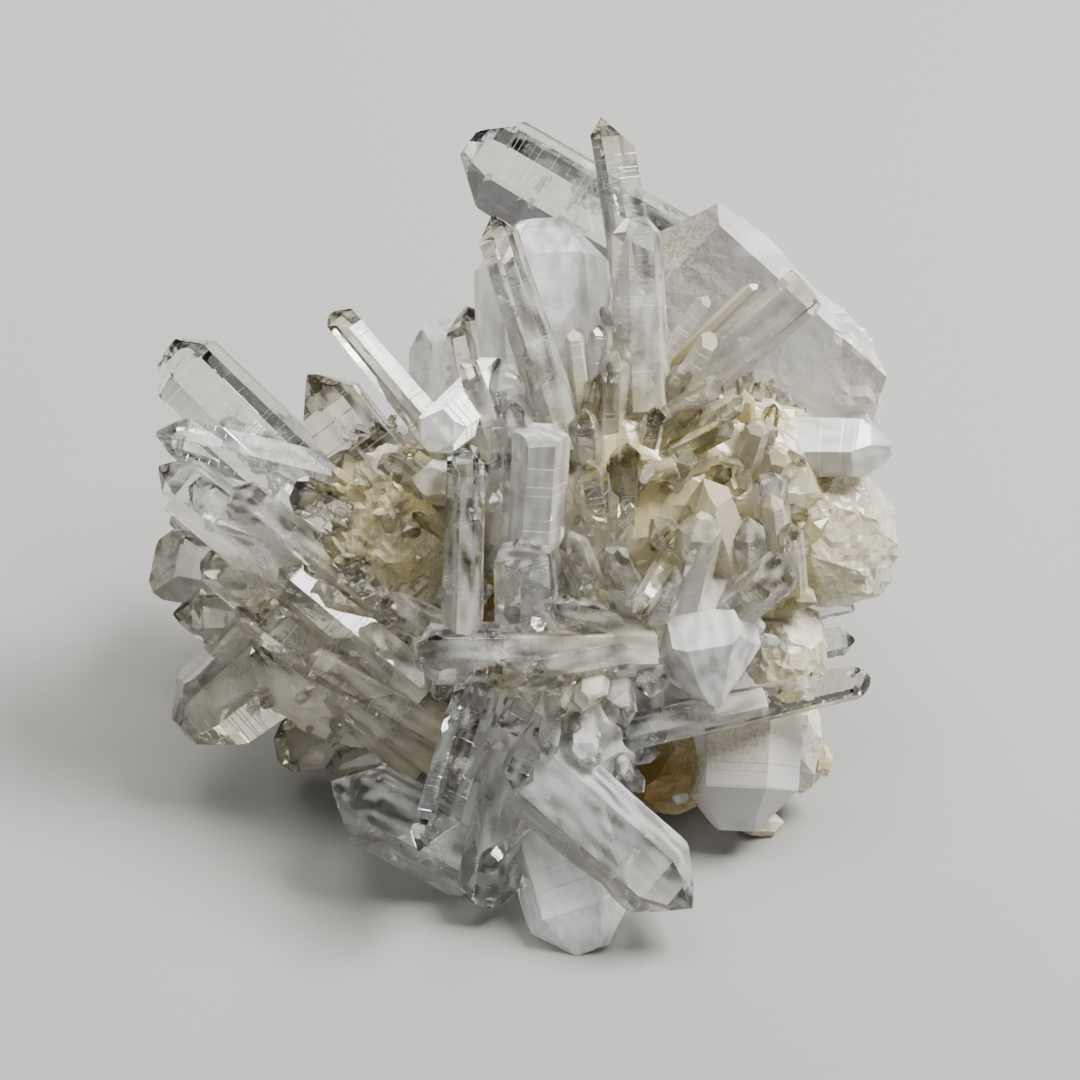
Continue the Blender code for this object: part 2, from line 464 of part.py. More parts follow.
def quartz_material():
    """Clear to milky quartz."""
    material = bpy.data.materials.new("quartz")
    material.use_nodes = True
    shader = material.node_tree.nodes["Principled BSDF"]
    shader.inputs["Base Color"].default_value = (0.78, 0.77, 0.7, 1.0)
    shader.inputs["Roughness"].default_value = 0.12
    shader.inputs["IOR"].default_value = 1.544
    shader.inputs["Transmission Weight"].default_value = 0.6
    return material


def build():
    """Make every piece, grow them together and finish the one solid."""
    for obj in list(bpy.data.objects):
        bpy.data.objects.remove(obj, do_unlink=True)
    pieces = [add_slab("slab")]
    for number, lump in enumerate(LUMPS):
        pieces.append(add_lump(f"lump_{number}", lump))
    groups = (LEFT_FAN, TOP_SPRAY, CENTRE_SPRAY, FRONT_POINTS, GAP_POINTS, RIGHT_POINTS, BACK_POINTS)
    number = 0
    for group in groups:
        for crystal in group:
            number += 1
            pieces.append(add_crystal(f"crystal_{number}", crystal, number))
    cluster = grow_together(OBJECT_NAME, pieces)
    tidy_solid(cluster)
    stand_at_origin(cluster)
    cluster.data.name = OBJECT_NAME
    cluster.data.materials.clear()
    cluster.data.materials.append(quartz_material())


build()
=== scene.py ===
"""Dresses the quartz cluster: crystals with growth ledges and worn edges, a rough milky base,
fine points crowded in its hollows, healed cracks inside, and a plain pale studio."""

import math
import random
from collections import namedtuple

import bpy
import numpy as np
from bpy.props import FloatProperty, FloatVectorProperty, IntProperty, PointerProperty
from mathutils import Matrix, Vector
from mathutils.noise import noise as noise_at


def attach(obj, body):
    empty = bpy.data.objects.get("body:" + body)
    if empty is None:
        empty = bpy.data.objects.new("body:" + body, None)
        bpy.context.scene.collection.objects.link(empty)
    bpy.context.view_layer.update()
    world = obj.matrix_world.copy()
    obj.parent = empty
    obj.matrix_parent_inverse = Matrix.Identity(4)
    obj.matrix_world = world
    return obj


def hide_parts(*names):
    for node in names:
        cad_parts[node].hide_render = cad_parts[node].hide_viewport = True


bl_info = {
    "name": "Quartz cluster",
    "version": (1, 0, 0),
    "blender": (4, 5, 0),
    "location": "3D View > Sidebar > Quartz",
    "description": "Grows and dresses a cluster of clear to milky quartz points",
    "category": "Mesh",
}

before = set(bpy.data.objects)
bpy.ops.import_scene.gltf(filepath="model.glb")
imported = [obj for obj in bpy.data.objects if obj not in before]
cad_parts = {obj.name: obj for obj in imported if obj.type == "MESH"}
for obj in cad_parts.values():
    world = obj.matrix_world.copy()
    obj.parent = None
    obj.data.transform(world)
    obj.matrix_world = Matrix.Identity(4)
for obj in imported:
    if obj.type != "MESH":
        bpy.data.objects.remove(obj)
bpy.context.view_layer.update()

MM = 0.001
NODE = "quartz_cluster"

# The cluster leans back by this much for the eye: across to the right, up the leaning plane, and
# near, straight out of it. All are millimetres. The shift centres the base on the origin.
LEAN_DEG = 38.0
LEAN_CENTRE_HEIGHT = 31.0
EYE_DISTANCE = 430.0
STAND_SHIFT = Vector((3.134, -4.285, 0.0))

# Quartz: six prism sides, and tip faces at 51.8 degrees to the base plane of the crystal
TIP_FACE_DEG = 51.8
PRISM_SIDES = 6
SIDE_SPREAD = (0.94, 1.05)
TAPER_SPREAD = (0.6, 1.4)
BREAK_TILT = 0.16
SHOULDER_SHARE = 0.75
LUMP_DEEPEST_FLAT = 0.82
LUMP_FLAT_STRAY = 0.3
CUT_CLOSENESS = 1e-7

# Height of each tip face along the axis, as a share of the half width; a seventh is a flat break
SHARP = (0.0, 0.35, 0.0, 0.45, 0.0, 0.4)
EVEN = (0.0, 0.08, 0.0, 0.12, 0.05, 0.1)
CHISEL = (0.0, 0.55, 0.7, 0.0, 0.6, 0.75)
WEDGE = (-0.5, 0.35, 0.2, 0.1, 0.3, 0.15)
BLUNT = (0.2, 0.35, 0.25, 0.4, 0.2, 0.3, -0.12)
BROKEN = (0.95, 1.05, 0.9, 1.0, 0.95, 1.1, 0.0)
RIGHT_SLANT = (0.05, -0.5, 0.1, 0.3, 0.2, 0.25)
LEFT_SLANT = (0.1, 0.2, 0.3, 0.2, -0.6, -0.1)

# How a stretch of quartz looks: how clear it is at the tip and at the root, from 0 milky to 1
# glassy, how much cream haze the tip and the root hold, how much brown stain, how dusty it is,
# and whether it is milky right through
Look = namedtuple("Look", "tip_clear root_clear tip_cream root_cream stain dust milky")
GLASS = Look(1.0, 0.9, 0.05, 0.15, 0.0, 0.0, False)
CLEAR = Look(0.97, 0.62, 0.0, 0.3, 0.0, 0.0, False)
CLOUDY = Look(0.88, 0.45, 0.15, 0.5, 0.0, 0.05, False)
CREAM_TIP = Look(0.95, 0.55, 0.8, 0.55, 0.0, 0.0, False)
CREAM = Look(0.8, 0.42, 0.6, 0.95, 0.1, 0.15, False)
GREY = Look(0.88, 0.5, 0.5, 0.7, 0.05, 0.1, False)
OLIVE = Look(0.8, 0.55, 0.8, 0.9, 0.15, 0.1, False)
VIOLET = Look(0.9, 0.55, 0.0, 0.05, 0.0, 0.0, False)
MILKY = Look(0.55, 0.34, 0.03, 0.2, 0.0, 0.05, False)
SANDY = Look(0.5, 0.4, 0.03, 0.15, 0.0, 0.1, True)
SNOWY = Look(0.35, 0.3, 0.0, 0.1, 0.0, 0.0, False)
STAINED = Look(0.4, 0.3, 0.8, 0.95, 0.85, 0.6, True)
DUSTY = Look(0.35, 0.35, 0.9, 0.9, 0.4, 0.6, True)
MILKY_BASE = Look(0.3, 0.3, 0.1, 0.2, 0.0, 0.05, True)
VIOLET_BASE = Look(0.38, 0.38, 0.1, 0.1, 0.0, 0.2, True)
OLIVE_BASE = Look(0.35, 0.35, 0.5, 0.6, 0.08, 0.3, True)
ROUGH = Look(0.15, 0.15, 0.6, 0.6, 0.12, 0.6, True)
YELLOW = Look(0.05, 0.05, 1.0, 1.0, 0.5, 0.6, True)
RUSTY = Look(0.2, 0.2, 1.0, 1.0, 0.8, 0.4, True)
CREAM_BASE = Look(0.38, 0.38, 0.8, 0.9, 0.12, 0.25, True)
GREY_BASE = Look(0.38, 0.38, 0.4, 0.5, 0.05, 0.2, True)
SLAB_LOOK = Look(0.3, 0.28, 0.02, 0.06, 0.0, 0.25, True)

# Lumps of these looks broke into finer grains, and few small points grew on them
GRANULAR = (DUSTY, OLIVE_BASE, ROUGH, YELLOW)
BARE = (OLIVE_BASE, ROUGH, YELLOW, RUSTY)

# One crystal: its look, where its tip and root are, how wide and thick it is, how far it is
# turned on its axis in degrees, the style of its tip, and how much it narrows towards the tip
Crystal = namedtuple("Crystal", "look tip root width thick turn style taper")

LEFT_FAN = (
    Crystal(GLASS, (-47.0, 24.2, -2.0), (-23.0, 0.4, 1.0), 10.6, 9.0, 14.0, BLUNT, 0.02),
    Crystal(CLOUDY, (-48.1, 13.4, 2.0), (-16.0, 5.0, 2.0), 7.2, 6.4, 30.0, EVEN, 0.02),
    Crystal(CLOUDY, (-47.6, 9.6, 4.0), (-22.0, -11.0, 4.0), 8.6, 7.6, 10.0, EVEN, 0.02),
    Crystal(CLOUDY, (-39.2, 6.6, 7.4), (-19.0, -9.0, 5.0), 6.2, 5.2, 24.0, WEDGE, 0.02),
    Crystal(CLEAR, (-31.0, 6.2, 8.6), (-15.0, -1.0, 4.0), 5.2, 4.6, 0.0, CHISEL, 0.02),
    Crystal(CREAM_TIP, (-29.0, 20.8, 4.0), (-14.0, 1.0, 3.0), 9.6, 8.0, 20.0, EVEN, 0.02),
    Crystal(CREAM_TIP, (-26.2, 29.0, 0.0), (-11.0, 11.0, 2.0), 4.9, 4.6, 30.0, WEDGE, 0.02),
    Crystal(MILKY, (-12.4, 28.1, -8.0), (-11.5, 9.0, -3.0), 9.0, 8.0, 15.0, SHARP, 0.04),
    Crystal(CREAM_TIP, (-9.2, 29.6, -3.0), (-5.0, 12.0, 0.0), 7.4, 6.5, 10.0, EVEN, 0.02),
    Crystal(GREY, (-48.4, -2.6, -20.0), (-20.0, -6.0, -12.0), 11.0, 9.0, 14.0, CHISEL, 0.04),
    Crystal(GREY, (-46.6, 2.6, -17.0), (-22.0, -1.0, -9.0), 5.0, 4.4, 0.0, EVEN, 0.04),
    Crystal(GREY, (-42.4, -1.4, 3.0), (-12.5, -25.0, 5.0), 6.6, 4.6, 6.0, WEDGE, 0.02),
    Crystal(GREY, (-38.0, -7.4, 5.0), (-10.5, -28.6, 6.0), 5.6, 4.0, 20.0, WEDGE, 0.0),
    Crystal(GREY, (-36.0, -10.4, 3.0), (-14.0, -28.0, 4.0), 6.6, 4.4, 0.0, WEDGE, 0.0),
    Crystal(GREY, (-45.0, -24.6, -3.0), (-27.0, -9.0, -6.0), 13.0, 11.5, 12.0, BLUNT, 0.08),
    Crystal(OLIVE, (-34.4, -26.0, -10.0), (-9.0, -21.0, -8.0), 9.0, 7.5, 20.0, WEDGE, 0.04),
    Crystal(GREY, (-46.0, -9.4, -11.0), (-20.0, -8.0, -9.0), 8.5, 7.5, 5.0, EVEN, 0.04),
    Crystal(GREY, (-27.0, -28.8, -8.0), (-6.0, -20.0, -4.0), 6.0, 5.5, 30.0, SHARP, 0.04),
    Crystal(CLOUDY, (-33.0, -3.0, 7.4), (-14.0, -19.0, 7.0), 6.0, 4.6, 30.0, EVEN, 0.02),
    Crystal(CLEAR, (-27.0, 0.6, 11.5), (-22.0, -6.0, 7.0), 2.2, 2.0, 0.0, SHARP, 0.04),
    Crystal(CLEAR, (-24.4, -2.2, 13.0), (-18.0, -9.0, 6.0), 4.4, 4.0, 30.0, EVEN, 0.04),
    Crystal(CLOUDY, (-19.9, -7.2, 13.6), (-10.0, -12.5, 9.0), 4.2, 3.8, 0.0, WEDGE, 0.04),
    Crystal(CLEAR, (-16.0, 3.4, 14.0), (-9.5, -1.0, 10.0), 1.5, 1.4, 0.0, SHARP, 0.04),
    Crystal(GREY, (-30.0, -14.0, 7.4), (-12.0, -24.0, 7.0), 5.0, 4.0, 0.0, EVEN, 0.02),
    Crystal(CLOUDY, (-13.0, -20.4, 12.0), (-10.0, -12.0, 8.0), 2.6, 2.4, 0.0, EVEN, 0.04),
    Crystal(CREAM, (-20.0, 10.4, 9.4), (-13.0, 4.0, 5.0), 5.4, 4.6, 10.0, BLUNT, 0.04),
)

TOP_SPRAY = (
    Crystal(GLASS, (-9.4, 49.6, -12.0), (17.6, 33.8, -9.0), 13.2, 11.5, 12.0, BLUNT, 0.0),
    Crystal(CREAM_TIP, (8.4, 53.4, 4.0), (13.6, 22.0, 4.0), 6.6, 6.0, 30.0, RIGHT_SLANT, 0.01),
    Crystal(CLOUDY, (11.9, 40.8, 8.0), (12.8, 16.0, 7.0), 6.8, 6.0, 8.0, BLUNT, 0.02),
    Crystal(CREAM_TIP, (-5.9, 40.6, 8.0), (3.6, 11.0, 9.0), 5.8, 5.4, 14.0, EVEN, 0.0),
    Crystal(MILKY, (-0.2, 41.0, -1.0), (1.4, 13.0, 0.0), 17.6, 13.0, 4.0, BLUNT, 0.02),
    Crystal(MILKY, (-14.8, 11.8, 13.5), (-5.0, 20.0, 5.0), 6.2, 5.0, 0.0, WEDGE, 0.04),
    Crystal(CREAM_TIP, (-9.4, 22.9, 10.5), (-5.2, 10.0, 9.0), 2.9, 2.6, 10.0, SHARP, 0.04),
    Crystal(CLEAR, (-5.2, 23.0, 8.0), (-2.0, 11.0, 6.0), 7.0, 6.4, 0.0, EVEN, 0.04),
    Crystal(MILKY, (0.2, 13.6, 15.5), (-1.2, -6.0, 9.0), 7.4, 7.0, 2.0, BROKEN, 0.0),
    Crystal(CLOUDY, (-3.3, 17.4, 14.5), (-4.2, 0.0, 9.0), 5.4, 4.6, 15.0, SHARP, 0.02),
    Crystal(CLOUDY, (-2.1, -1.6, 17.6), (-1.4, -13.0, 10.0), 8.0, 7.0, 20.0, BROKEN, 0.04),
    Crystal(CLEAR, (-9.2, 12.1, 15.5), (-9.9, -13.5, 16.0), 5.2, 5.0, 12.0, WEDGE, 0.0),
    Crystal(MILKY, (-16.1, 7.6, 14.5), (-8.0, 6.6, 8.0), 5.6, 5.0, 0.0, SHARP, 0.04),
    Crystal(CLEAR, (10.9, 12.2, 15.5), (9.6, 0.0, 8.0), 4.8, 4.4, 18.0, SHARP, 0.04),
    Crystal(CREAM, (6.2, 9.8, 15.0), (7.4, 0.0, 8.0), 4.6, 4.2, 0.0, BLUNT, 0.04),
    Crystal(CREAM, (9.4, 23.9, 12.0), (8.6, 11.0, 7.0), 4.2, 3.9, 0.0, EVEN, 0.04),
    Crystal(STAINED, (4.1, 26.4, 8.0), (6.0, 14.0, 6.0), 3.0, 2.8, 0.0, SHARP, 0.04),
    Crystal(CREAM, (7.3, 27.0, 8.0), (6.6, 14.0, 6.0), 2.8, 2.6, 20.0, SHARP, 0.04),
)

CENTRE_SPRAY = (
    Crystal(CREAM, (23.0, 20.1, 11.5), (10.0, 11.0, 7.0), 3.6, 3.3, 30.0, WEDGE, 0.02),
    Crystal(CREAM, (24.4, 14.5, 12.5), (12.0, 8.5, 7.0), 3.1, 3.0, 0.0, WEDGE, 0.02),
    Crystal(CREAM, (12.2, 7.8, 14.4), (21.0, 10.2, 7.0), 3.3, 3.2, 30.0, CHISEL, 0.04),
    Crystal(CREAM, (25.8, 17.8, 9.5), (15.0, 11.5, 6.0), 3.2, 3.0, 0.0, EVEN, 0.04),
    Crystal(STAINED, (27.6, 14.8, 10.5), (24.6, 7.0, 4.0), 3.4, 3.0, 0.0, BLUNT, 0.04),
    Crystal(STAINED, (30.4, 11.3, 9.5), (26.5, 4.0, 3.0), 3.6, 3.2, 10.0, BLUNT, 0.04),
    Crystal(STAINED, (20.6, 7.6, 14.0), (24.6, -5.0, 5.0), 6.2, 5.0, 30.0, EVEN, 0.04),
    Crystal(CREAM, (28.8, 8.3, 10.0), (29.2, -2.0, 4.0), 4.4, 4.0, 0.0, CHISEL, 0.04),
    Crystal(STAINED, (29.0, 5.7, 11.0), (30.0, -4.0, 4.0), 3.2, 3.0, 20.0, EVEN, 0.04),
    Crystal(CREAM, (31.3, 2.3, 10.8), (31.4, -6.0, 4.0), 3.4, 3.2, 0.0, EVEN, 0.04),
    Crystal(CREAM, (26.0, 3.0, 11.5), (26.5, -8.0, 5.0), 5.0, 4.4, 25.0, EVEN, 0.04),
    Crystal(CREAM, (31.0, -2.9, 10.5), (19.6, -12.0, 7.0), 6.4, 5.6, 4.0, CHISEL, 0.0),
    Crystal(MILKY, (20.6, 3.4, 15.6), (17.6, -9.0, 8.0), 6.0, 5.6, 12.0, BLUNT, 0.0),
    Crystal(CREAM, (11.9, -9.2, 17.0), (17.0, -1.5, 9.0), 3.0, 2.8, 0.0, WEDGE, 0.04),
    Crystal(CLEAR, (1.4, -8.2, 18.0), (8.6, -10.8, 10.0), 4.2, 3.8, 10.0, EVEN, 0.04),
    Crystal(CREAM, (14.0, 2.6, 15.0), (20.0, -4.0, 7.0), 4.4, 4.0, 0.0, EVEN, 0.04),
    Crystal(CLOUDY, (8.6, -1.2, 16.0), (12.0, -8.0, 8.0), 4.6, 4.2, 15.0, BLUNT, 0.04),
    Crystal(CREAM, (3.6, 1.2, 15.6), (6.6, -8.0, 8.0), 4.0, 3.6, 0.0, EVEN, 0.04),
    Crystal(CREAM, (17.0, -3.2, 15.0), (14.0, -12.0, 8.0), 3.6, 3.2, 0.0, SHARP, 0.04),
    Crystal(CREAM, (14.8, 17.0, 11.5), (12.0, 7.0, 6.0), 3.4, 3.0, 10.0, SHARP, 0.04),
    Crystal(CREAM, (18.6, 22.4, 9.5), (13.0, 12.0, 5.0), 3.0, 2.8, 0.0, SHARP, 0.04),
    Crystal(CREAM, (5.6, 16.6, 13.0), (6.2, 5.0, 7.0), 4.4, 4.0, 0.0, EVEN, 0.04),
    Crystal(STAINED, (21.8, 26.0, 8.5), (14.0, 14.0, 4.0), 3.0, 2.6, 20.0, WEDGE, 0.04),
    Crystal(CREAM, (19.0, 11.6, 12.6), (15.0, 4.0, 6.0), 3.6, 3.2, 10.0, EVEN, 0.04),
)

FRONT_POINTS = (
    Crystal(CLOUDY, (-16.4, -14.2, 18.0), (13.4, -13.8, 8.6), 8.0, 7.6, 4.0, BLUNT, 0.0),
    Crystal(CREAM_TIP, (-6.4, -17.6, 19.6), (13.6, -13.8, 9.6), 5.0, 4.2, 8.0, WEDGE, 0.02),
    Crystal(CLOUDY, (8.1, -24.8, 9.5), (28.0, -20.3, 7.0), 4.9, 4.6, 14.0, SHARP, 0.0),
    Crystal(GLASS, (41.5, -17.2, 5.0), (20.0, -22.1, 7.5), 4.8, 4.5, 14.0, SHARP, 0.0),
    Crystal(CLEAR, (35.4, -15.2, 7.0), (32.6, -20.4, 5.5), 1.7, 1.2, 0.0, SHARP, 0.04),
    Crystal(SANDY, (24.8, -37.2, 1.0), (25.6, -20.0, -1.0), 14.6, 11.5, 12.0, BLUNT, 0.0),
    Crystal(MILKY, (17.2, -33.2, -1.0), (19.0, -24.0, -3.0), 3.2, 1.8, 0.0, SHARP, 0.04),
    Crystal(VIOLET, (-26.2, -30.2, 10.0), (-8.0, -40.0, 4.0), 10.8, 9.6, 14.0, EVEN, 0.0),
    Crystal(VIOLET, (-6.9, -46.4, 11.0), (-4.0, -27.0, 6.0), 8.4, 7.8, 4.0, BLUNT, 0.0),
    Crystal(GLASS, (-14.3, -39.9, 20.0), (-6.6, -15.0, 12.0), 6.3, 6.0, 30.0, LEFT_SLANT, 0.0),
    Crystal(VIOLET, (19.3, -46.2, 16.5), (-0.5, -29.0, 11.0), 11.4, 9.0, 0.0, EVEN, 0.0),
    Crystal(MILKY, (6.6, -52.4, 13.0), (0.6, -31.0, 3.0), 13.6, 10.5, 6.0, BLUNT, 0.0),
    Crystal(CLEAR, (-7.2, -41.2, 14.0), (-2.4, -36.0, 9.0), 3.2, 2.8, 0.0, SHARP, 0.04),
    Crystal(CLEAR, (12.8, -31.4, 13.0), (9.0, -27.0, 7.0), 2.6, 2.4, 0.0, SHARP, 0.04),
    Crystal(CLEAR, (39.5, -12.4, -13.0), (27.0, -14.5, -11.0), 4.2, 3.8, 0.0, EVEN, 0.04),
    Crystal(CLEAR, (39.4, -8.0, -12.0), (28.0, -10.4, -9.0), 2.2, 1.8, 0.0, CHISEL, 0.04),
    Crystal(MILKY, (22.0, -21.0, 12.6), (19.0, -6.0, 4.0), 14.0, 9.6, 0.0, EVEN, 0.0),
)

GAP_POINTS = (
    Crystal(VIOLET, (-4.0, -24.0, 18.0), (0.0, -17.0, 9.0), 4.0, 2.9, 0.0, CHISEL, 0.04),
    Crystal(CLOUDY, (1.0, -22.5, 18.5), (3.0, -15.0, 9.0), 4.4, 3.2, 20.0, WEDGE, 0.04),
    Crystal(MILKY, (6.2, -21.4, 17.5), (7.0, -14.0, 9.0), 4.2, 3.0, 0.0, LEFT_SLANT, 0.04),
    Crystal(CLOUDY, (10.4, -23.4, 15.0), (9.0, -15.0, 8.0), 4.4, 3.2, 0.0, RIGHT_SLANT, 0.04),
    Crystal(VIOLET, (-3.5, -31.0, 16.4), (1.0, -22.0, 7.0), 4.8, 3.4, 10.0, SHARP, 0.04),
    Crystal(MILKY, (5.5, -27.4, 16.0), (5.0, -18.0, 7.0), 4.0, 2.9, 0.0, CHISEL, 0.04),
    Crystal(CLOUDY, (13.8, -19.6, 13.0), (14.0, -12.0, 6.0), 4.6, 3.4, 0.0, WEDGE, 0.04),
    Crystal(VIOLET, (13.5, -28.0, 8.0), (13.0, -18.0, 3.0), 4.8, 3.5, 20.0, LEFT_SLANT, 0.04),
    Crystal(CLOUDY, (0.8, -27.0, 17.0), (2.0, -18.0, 8.0), 3.2, 2.4, 30.0, RIGHT_SLANT, 0.04),
)

RIGHT_POINTS = (
    Crystal(CREAM, (33.4, 31.6, 5.5), (12.0, 13.5, 0.0), 6.4, 4.0, 6.0, BROKEN, 0.0),
    Crystal(STAINED, (21.0, 30.6, 8.6), (11.0, 16.5, 5.5), 2.6, 2.4, 30.0, SHARP, 0.02),
    Crystal(STAINED, (27.2, 32.2, 7.4), (14.0, 19.5, 3.5), 1.7, 1.6, 0.0, SHARP, 0.0),
    Crystal(SNOWY, (44.8, 11.4, 3.0), (22.0, 11.6, -3.0), 8.8, 8.6, 30.0, EVEN, 0.0),
)

BACK_POINTS = (
    Crystal(CLEAR, (-26.0, 12.0, -31.0), (-6.0, 2.0, -12.0), 8.0, 7.0, 10.0, EVEN, 0.04),
    Crystal(CLOUDY, (-41.0, 13.0, -24.0), (-14.0, -1.0, -10.0), 7.0, 6.4, 25.0, SHARP, 0.04),
    Crystal(MILKY, (-2.0, 33.0, -29.0), (0.0, 12.0, -12.0), 7.4, 6.6, 0.0, CHISEL, 0.04),
    Crystal(CLOUDY, (-44.0, 6.0, -20.0), (-18.0, -4.0, -12.0), 7.4, 6.6, 12.0, SHARP, 0.04),
    Crystal(CLEAR, (-4.0, 27.0, -38.0), (2.0, 8.0, -16.0), 7.0, 6.4, 15.0, EVEN, 0.04),
    Crystal(MILKY, (-19.0, 13.0, -38.0), (-6.0, 0.0, -16.0), 9.0, 8.0, 5.0, EVEN, 0.04),
    Crystal(CLOUDY, (-33.0, 6.0, -33.0), (-12.0, -4.0, -18.0), 6.6, 6.0, 20.0, SHARP, 0.04),
    Crystal(CLOUDY, (12.0, 22.0, -44.0), (8.0, 4.0, -18.0), 10.0, 9.0, 10.0, CHISEL, 0.04),
    Crystal(CLEAR, (0.0, 15.0, -45.0), (2.0, 0.0, -20.0), 6.6, 6.0, 0.0, SHARP, 0.04),
    Crystal(CLOUDY, (-12.0, 7.0, -42.0), (-2.0, -6.0, -20.0), 7.4, 6.6, 25.0, EVEN, 0.04),
    Crystal(MILKY, (24.0, 12.0, -43.0), (14.0, 0.0, -18.0), 7.0, 6.4, 12.0, SHARP, 0.04),
    Crystal(CLOUDY, (36.0, 14.0, -32.0), (20.0, 2.0, -14.0), 8.6, 7.6, 0.0, EVEN, 0.04),
    Crystal(CLEAR, (40.0, 2.0, -26.0), (20.0, -4.0, -14.0), 6.4, 5.8, 18.0, SHARP, 0.04),
    Crystal(GREY, (-24.0, -5.0, -36.0), (-8.0, -9.0, -20.0), 7.0, 6.0, 8.0, EVEN, 0.04),
    Crystal(GREY, (-36.0, -8.0, -27.0), (-16.0, -11.0, -17.0), 6.0, 5.4, 0.0, SHARP, 0.04),
    Crystal(CLEAR, (8.0, 4.0, -46.0), (6.0, -8.0, -22.0), 6.0, 5.6, 20.0, SHARP, 0.04),
    Crystal(CLOUDY, (30.0, 24.0, -36.0), (18.0, 10.0, -12.0), 6.0, 5.4, 5.0, SHARP, 0.04),
    Crystal(MILKY, (20.0, 33.0, -33.0), (14.0, 16.0, -12.0), 7.6, 6.8, 20.0, EVEN, 0.04),
    Crystal(CLEAR, (5.0, 27.0, -41.0), (6.0, 8.0, -18.0), 4.6, 4.2, 0.0, SHARP, 0.04),
    Crystal(CLOUDY, (-28.0, 14.0, -31.0), (-10.0, 0.0, -16.0), 4.4, 4.0, 0.0, SHARP, 0.04),
    Crystal(CLEAR, (17.0, 14.0, -46.0), (12.0, 0.0, -22.0), 4.2, 3.8, 30.0, SHARP, 0.04),
)

# Rough quartz the crystals grow from: its look, centre, half sizes, number of flats, seed
Lump = namedtuple("Lump", "look centre half flats seed")
LUMPS = (
    Lump(MILKY_BASE, (2.0, -17.0, -18.6), (23.0, 16.0, 16.0), 26, 5),
    Lump(MILKY_BASE, (2.0, -6.0, -8.0), (27.0, 23.0, 19.0), 36, 3),
    Lump(DUSTY, (-18.4, 1.0, 1.6), (8.8, 13.5, 9.6), 26, 11),
    Lump(CREAM_BASE, (8.0, 5.0, 2.0), (20.0, 14.0, 10.6), 30, 7),
    Lump(GREY_BASE, (-24.0, -14.0, -1.0), (13.0, 12.0, 8.0), 24, 23),
    Lump(VIOLET_BASE, (2.0, -24.0, 5.0), (11.0, 10.0, 9.0), 24, 61),
    Lump(OLIVE_BASE, (36.2, 0.6, -4.0), (8.6, 9.0, 8.0), 26, 41),
    Lump(CREAM_BASE, (27.0, -1.0, -2.0), (9.0, 9.0, 8.0), 22, 13),
    Lump(ROUGH, (30.6, -14.0, -3.0), (5.2, 6.6, 5.4), 22, 17),
    Lump(MILKY_BASE, (18.0, -10.4, 3.0), (10.0, 9.4, 8.0), 22, 29),
    Lump(ROUGH, (33.0, -26.0, -3.0), (2.6, 5.6, 2.8), 18, 31),
    Lump(ROUGH, (27.6, -35.6, -3.4), (2.8, 1.6, 2.2), 16, 37),
    Lump(YELLOW, (35.4, -27.6, -2.4), (1.1, 1.9, 1.4), 14, 43),
    Lump(CREAM_BASE, (24.0, 8.0, -3.0), (13.0, 11.0, 9.0), 24, 53),
    Lump(RUSTY, (15.5, -26.6, -5.6), (8.0, 7.4, 8.0), 20, 59),
    Lump(MILKY_BASE, (-8.0, -34.0, 4.0), (7.0, 6.0, 5.0), 18, 67),
    Lump(MILKY_BASE, (24.0, 13.0, -14.0), (15.0, 17.0, 11.0), 26, 71),
    Lump(MILKY_BASE, (7.0, 19.0, -4.0), (9.0, 13.0, 8.0), 22, 73),
)

# The thick milky slab: its outline across and up, how far it leans, how thick it is
SLAB_OUTLINE = (
    (14.4, 40.9),
    (20.0, 42.5),
    (22.8, 43.3),
    (25.6, 41.8),
    (28.1, 40.0),
    (30.6, 37.8),
    (32.3, 35.0),
    (34.4, 32.9),
    (36.3, 31.5),
    (38.5, 29.8),
    (40.0, 28.1),
    (42.5, 24.6),
    (43.3, 21.5),
    (43.1, 18.8),
    (41.9, 16.0),
    (38.0, 6.0),
    (12.0, 0.0),
    (11.0, 22.0),
)
SLAB_NEAR_AT_ZERO = -14.0
SLAB_LEAN = 0.47
SLAB_THICK = 15.0
SLAB_BACK_SHRINK = 0.97

# Facets struck off the slab, front and back: a place on each (across, up, near) and the way
# it faces
SLAB_FACETS = (
    ((26.0, 39.8, 4.6), (0.34, 0.42, 1.0)),
    ((38.6, 25.0, -2.4), (0.5, 0.1, 1.0)),
    ((18.0, 34.0, 2.4), (-0.5, 0.0, 1.0)),
    ((26.0, 42.0, -12.0), (0.3, 0.6, -1.0)),
    ((42.0, 22.0, -16.0), (0.8, 0.1, -1.0)),
    ((26.0, 22.0, -20.0), (0.1, 0.1, -1.0)),
    ((36.0, 33.0, -14.0), (0.6, 0.5, -1.0)),
)

ALL_CRYSTALS = (
    LEFT_FAN,
    TOP_SPRAY,
    CENTRE_SPRAY,
    FRONT_POINTS,
    GAP_POINTS,
    RIGHT_POINTS,
    BACK_POINTS,
)

CLEAR_QUARTZ = "Clear quartz"
MILKY_QUARTZ = "Milky quartz"

# Small points: how far the tip leans off its axis, and how flat it is, as shares of its width
POINT_KINDS = ((0.0, 1.0), (0.12, 0.85), (-0.15, 0.9), (0.2, 0.75))

# Widths of small points as shares of the usual one
POINT_GROWTH = (0.6, 0.7, 0.9, 1.0, 1.1, 1.4, 1.9)

# Grid of the granular lumps as a share of the usual one
GRANULAR_GRID = 0.62

# The owner number of the slab, and of small points; lumps count down from the slab's
SLAB_OWNER = -1.0
POINT_OWNER = 0.0

# Wisps inside a crystal are drawn out along it by this much
WISP_STRETCH = 3.0
WISP_SHIFT = 0.1

# Light that has turned this often inside the quartz adds nothing to be seen
LIGHT_BOUNCES = 5

# The slab is broken rough from this far across
SLAB_ROUGH_FROM = 37.0

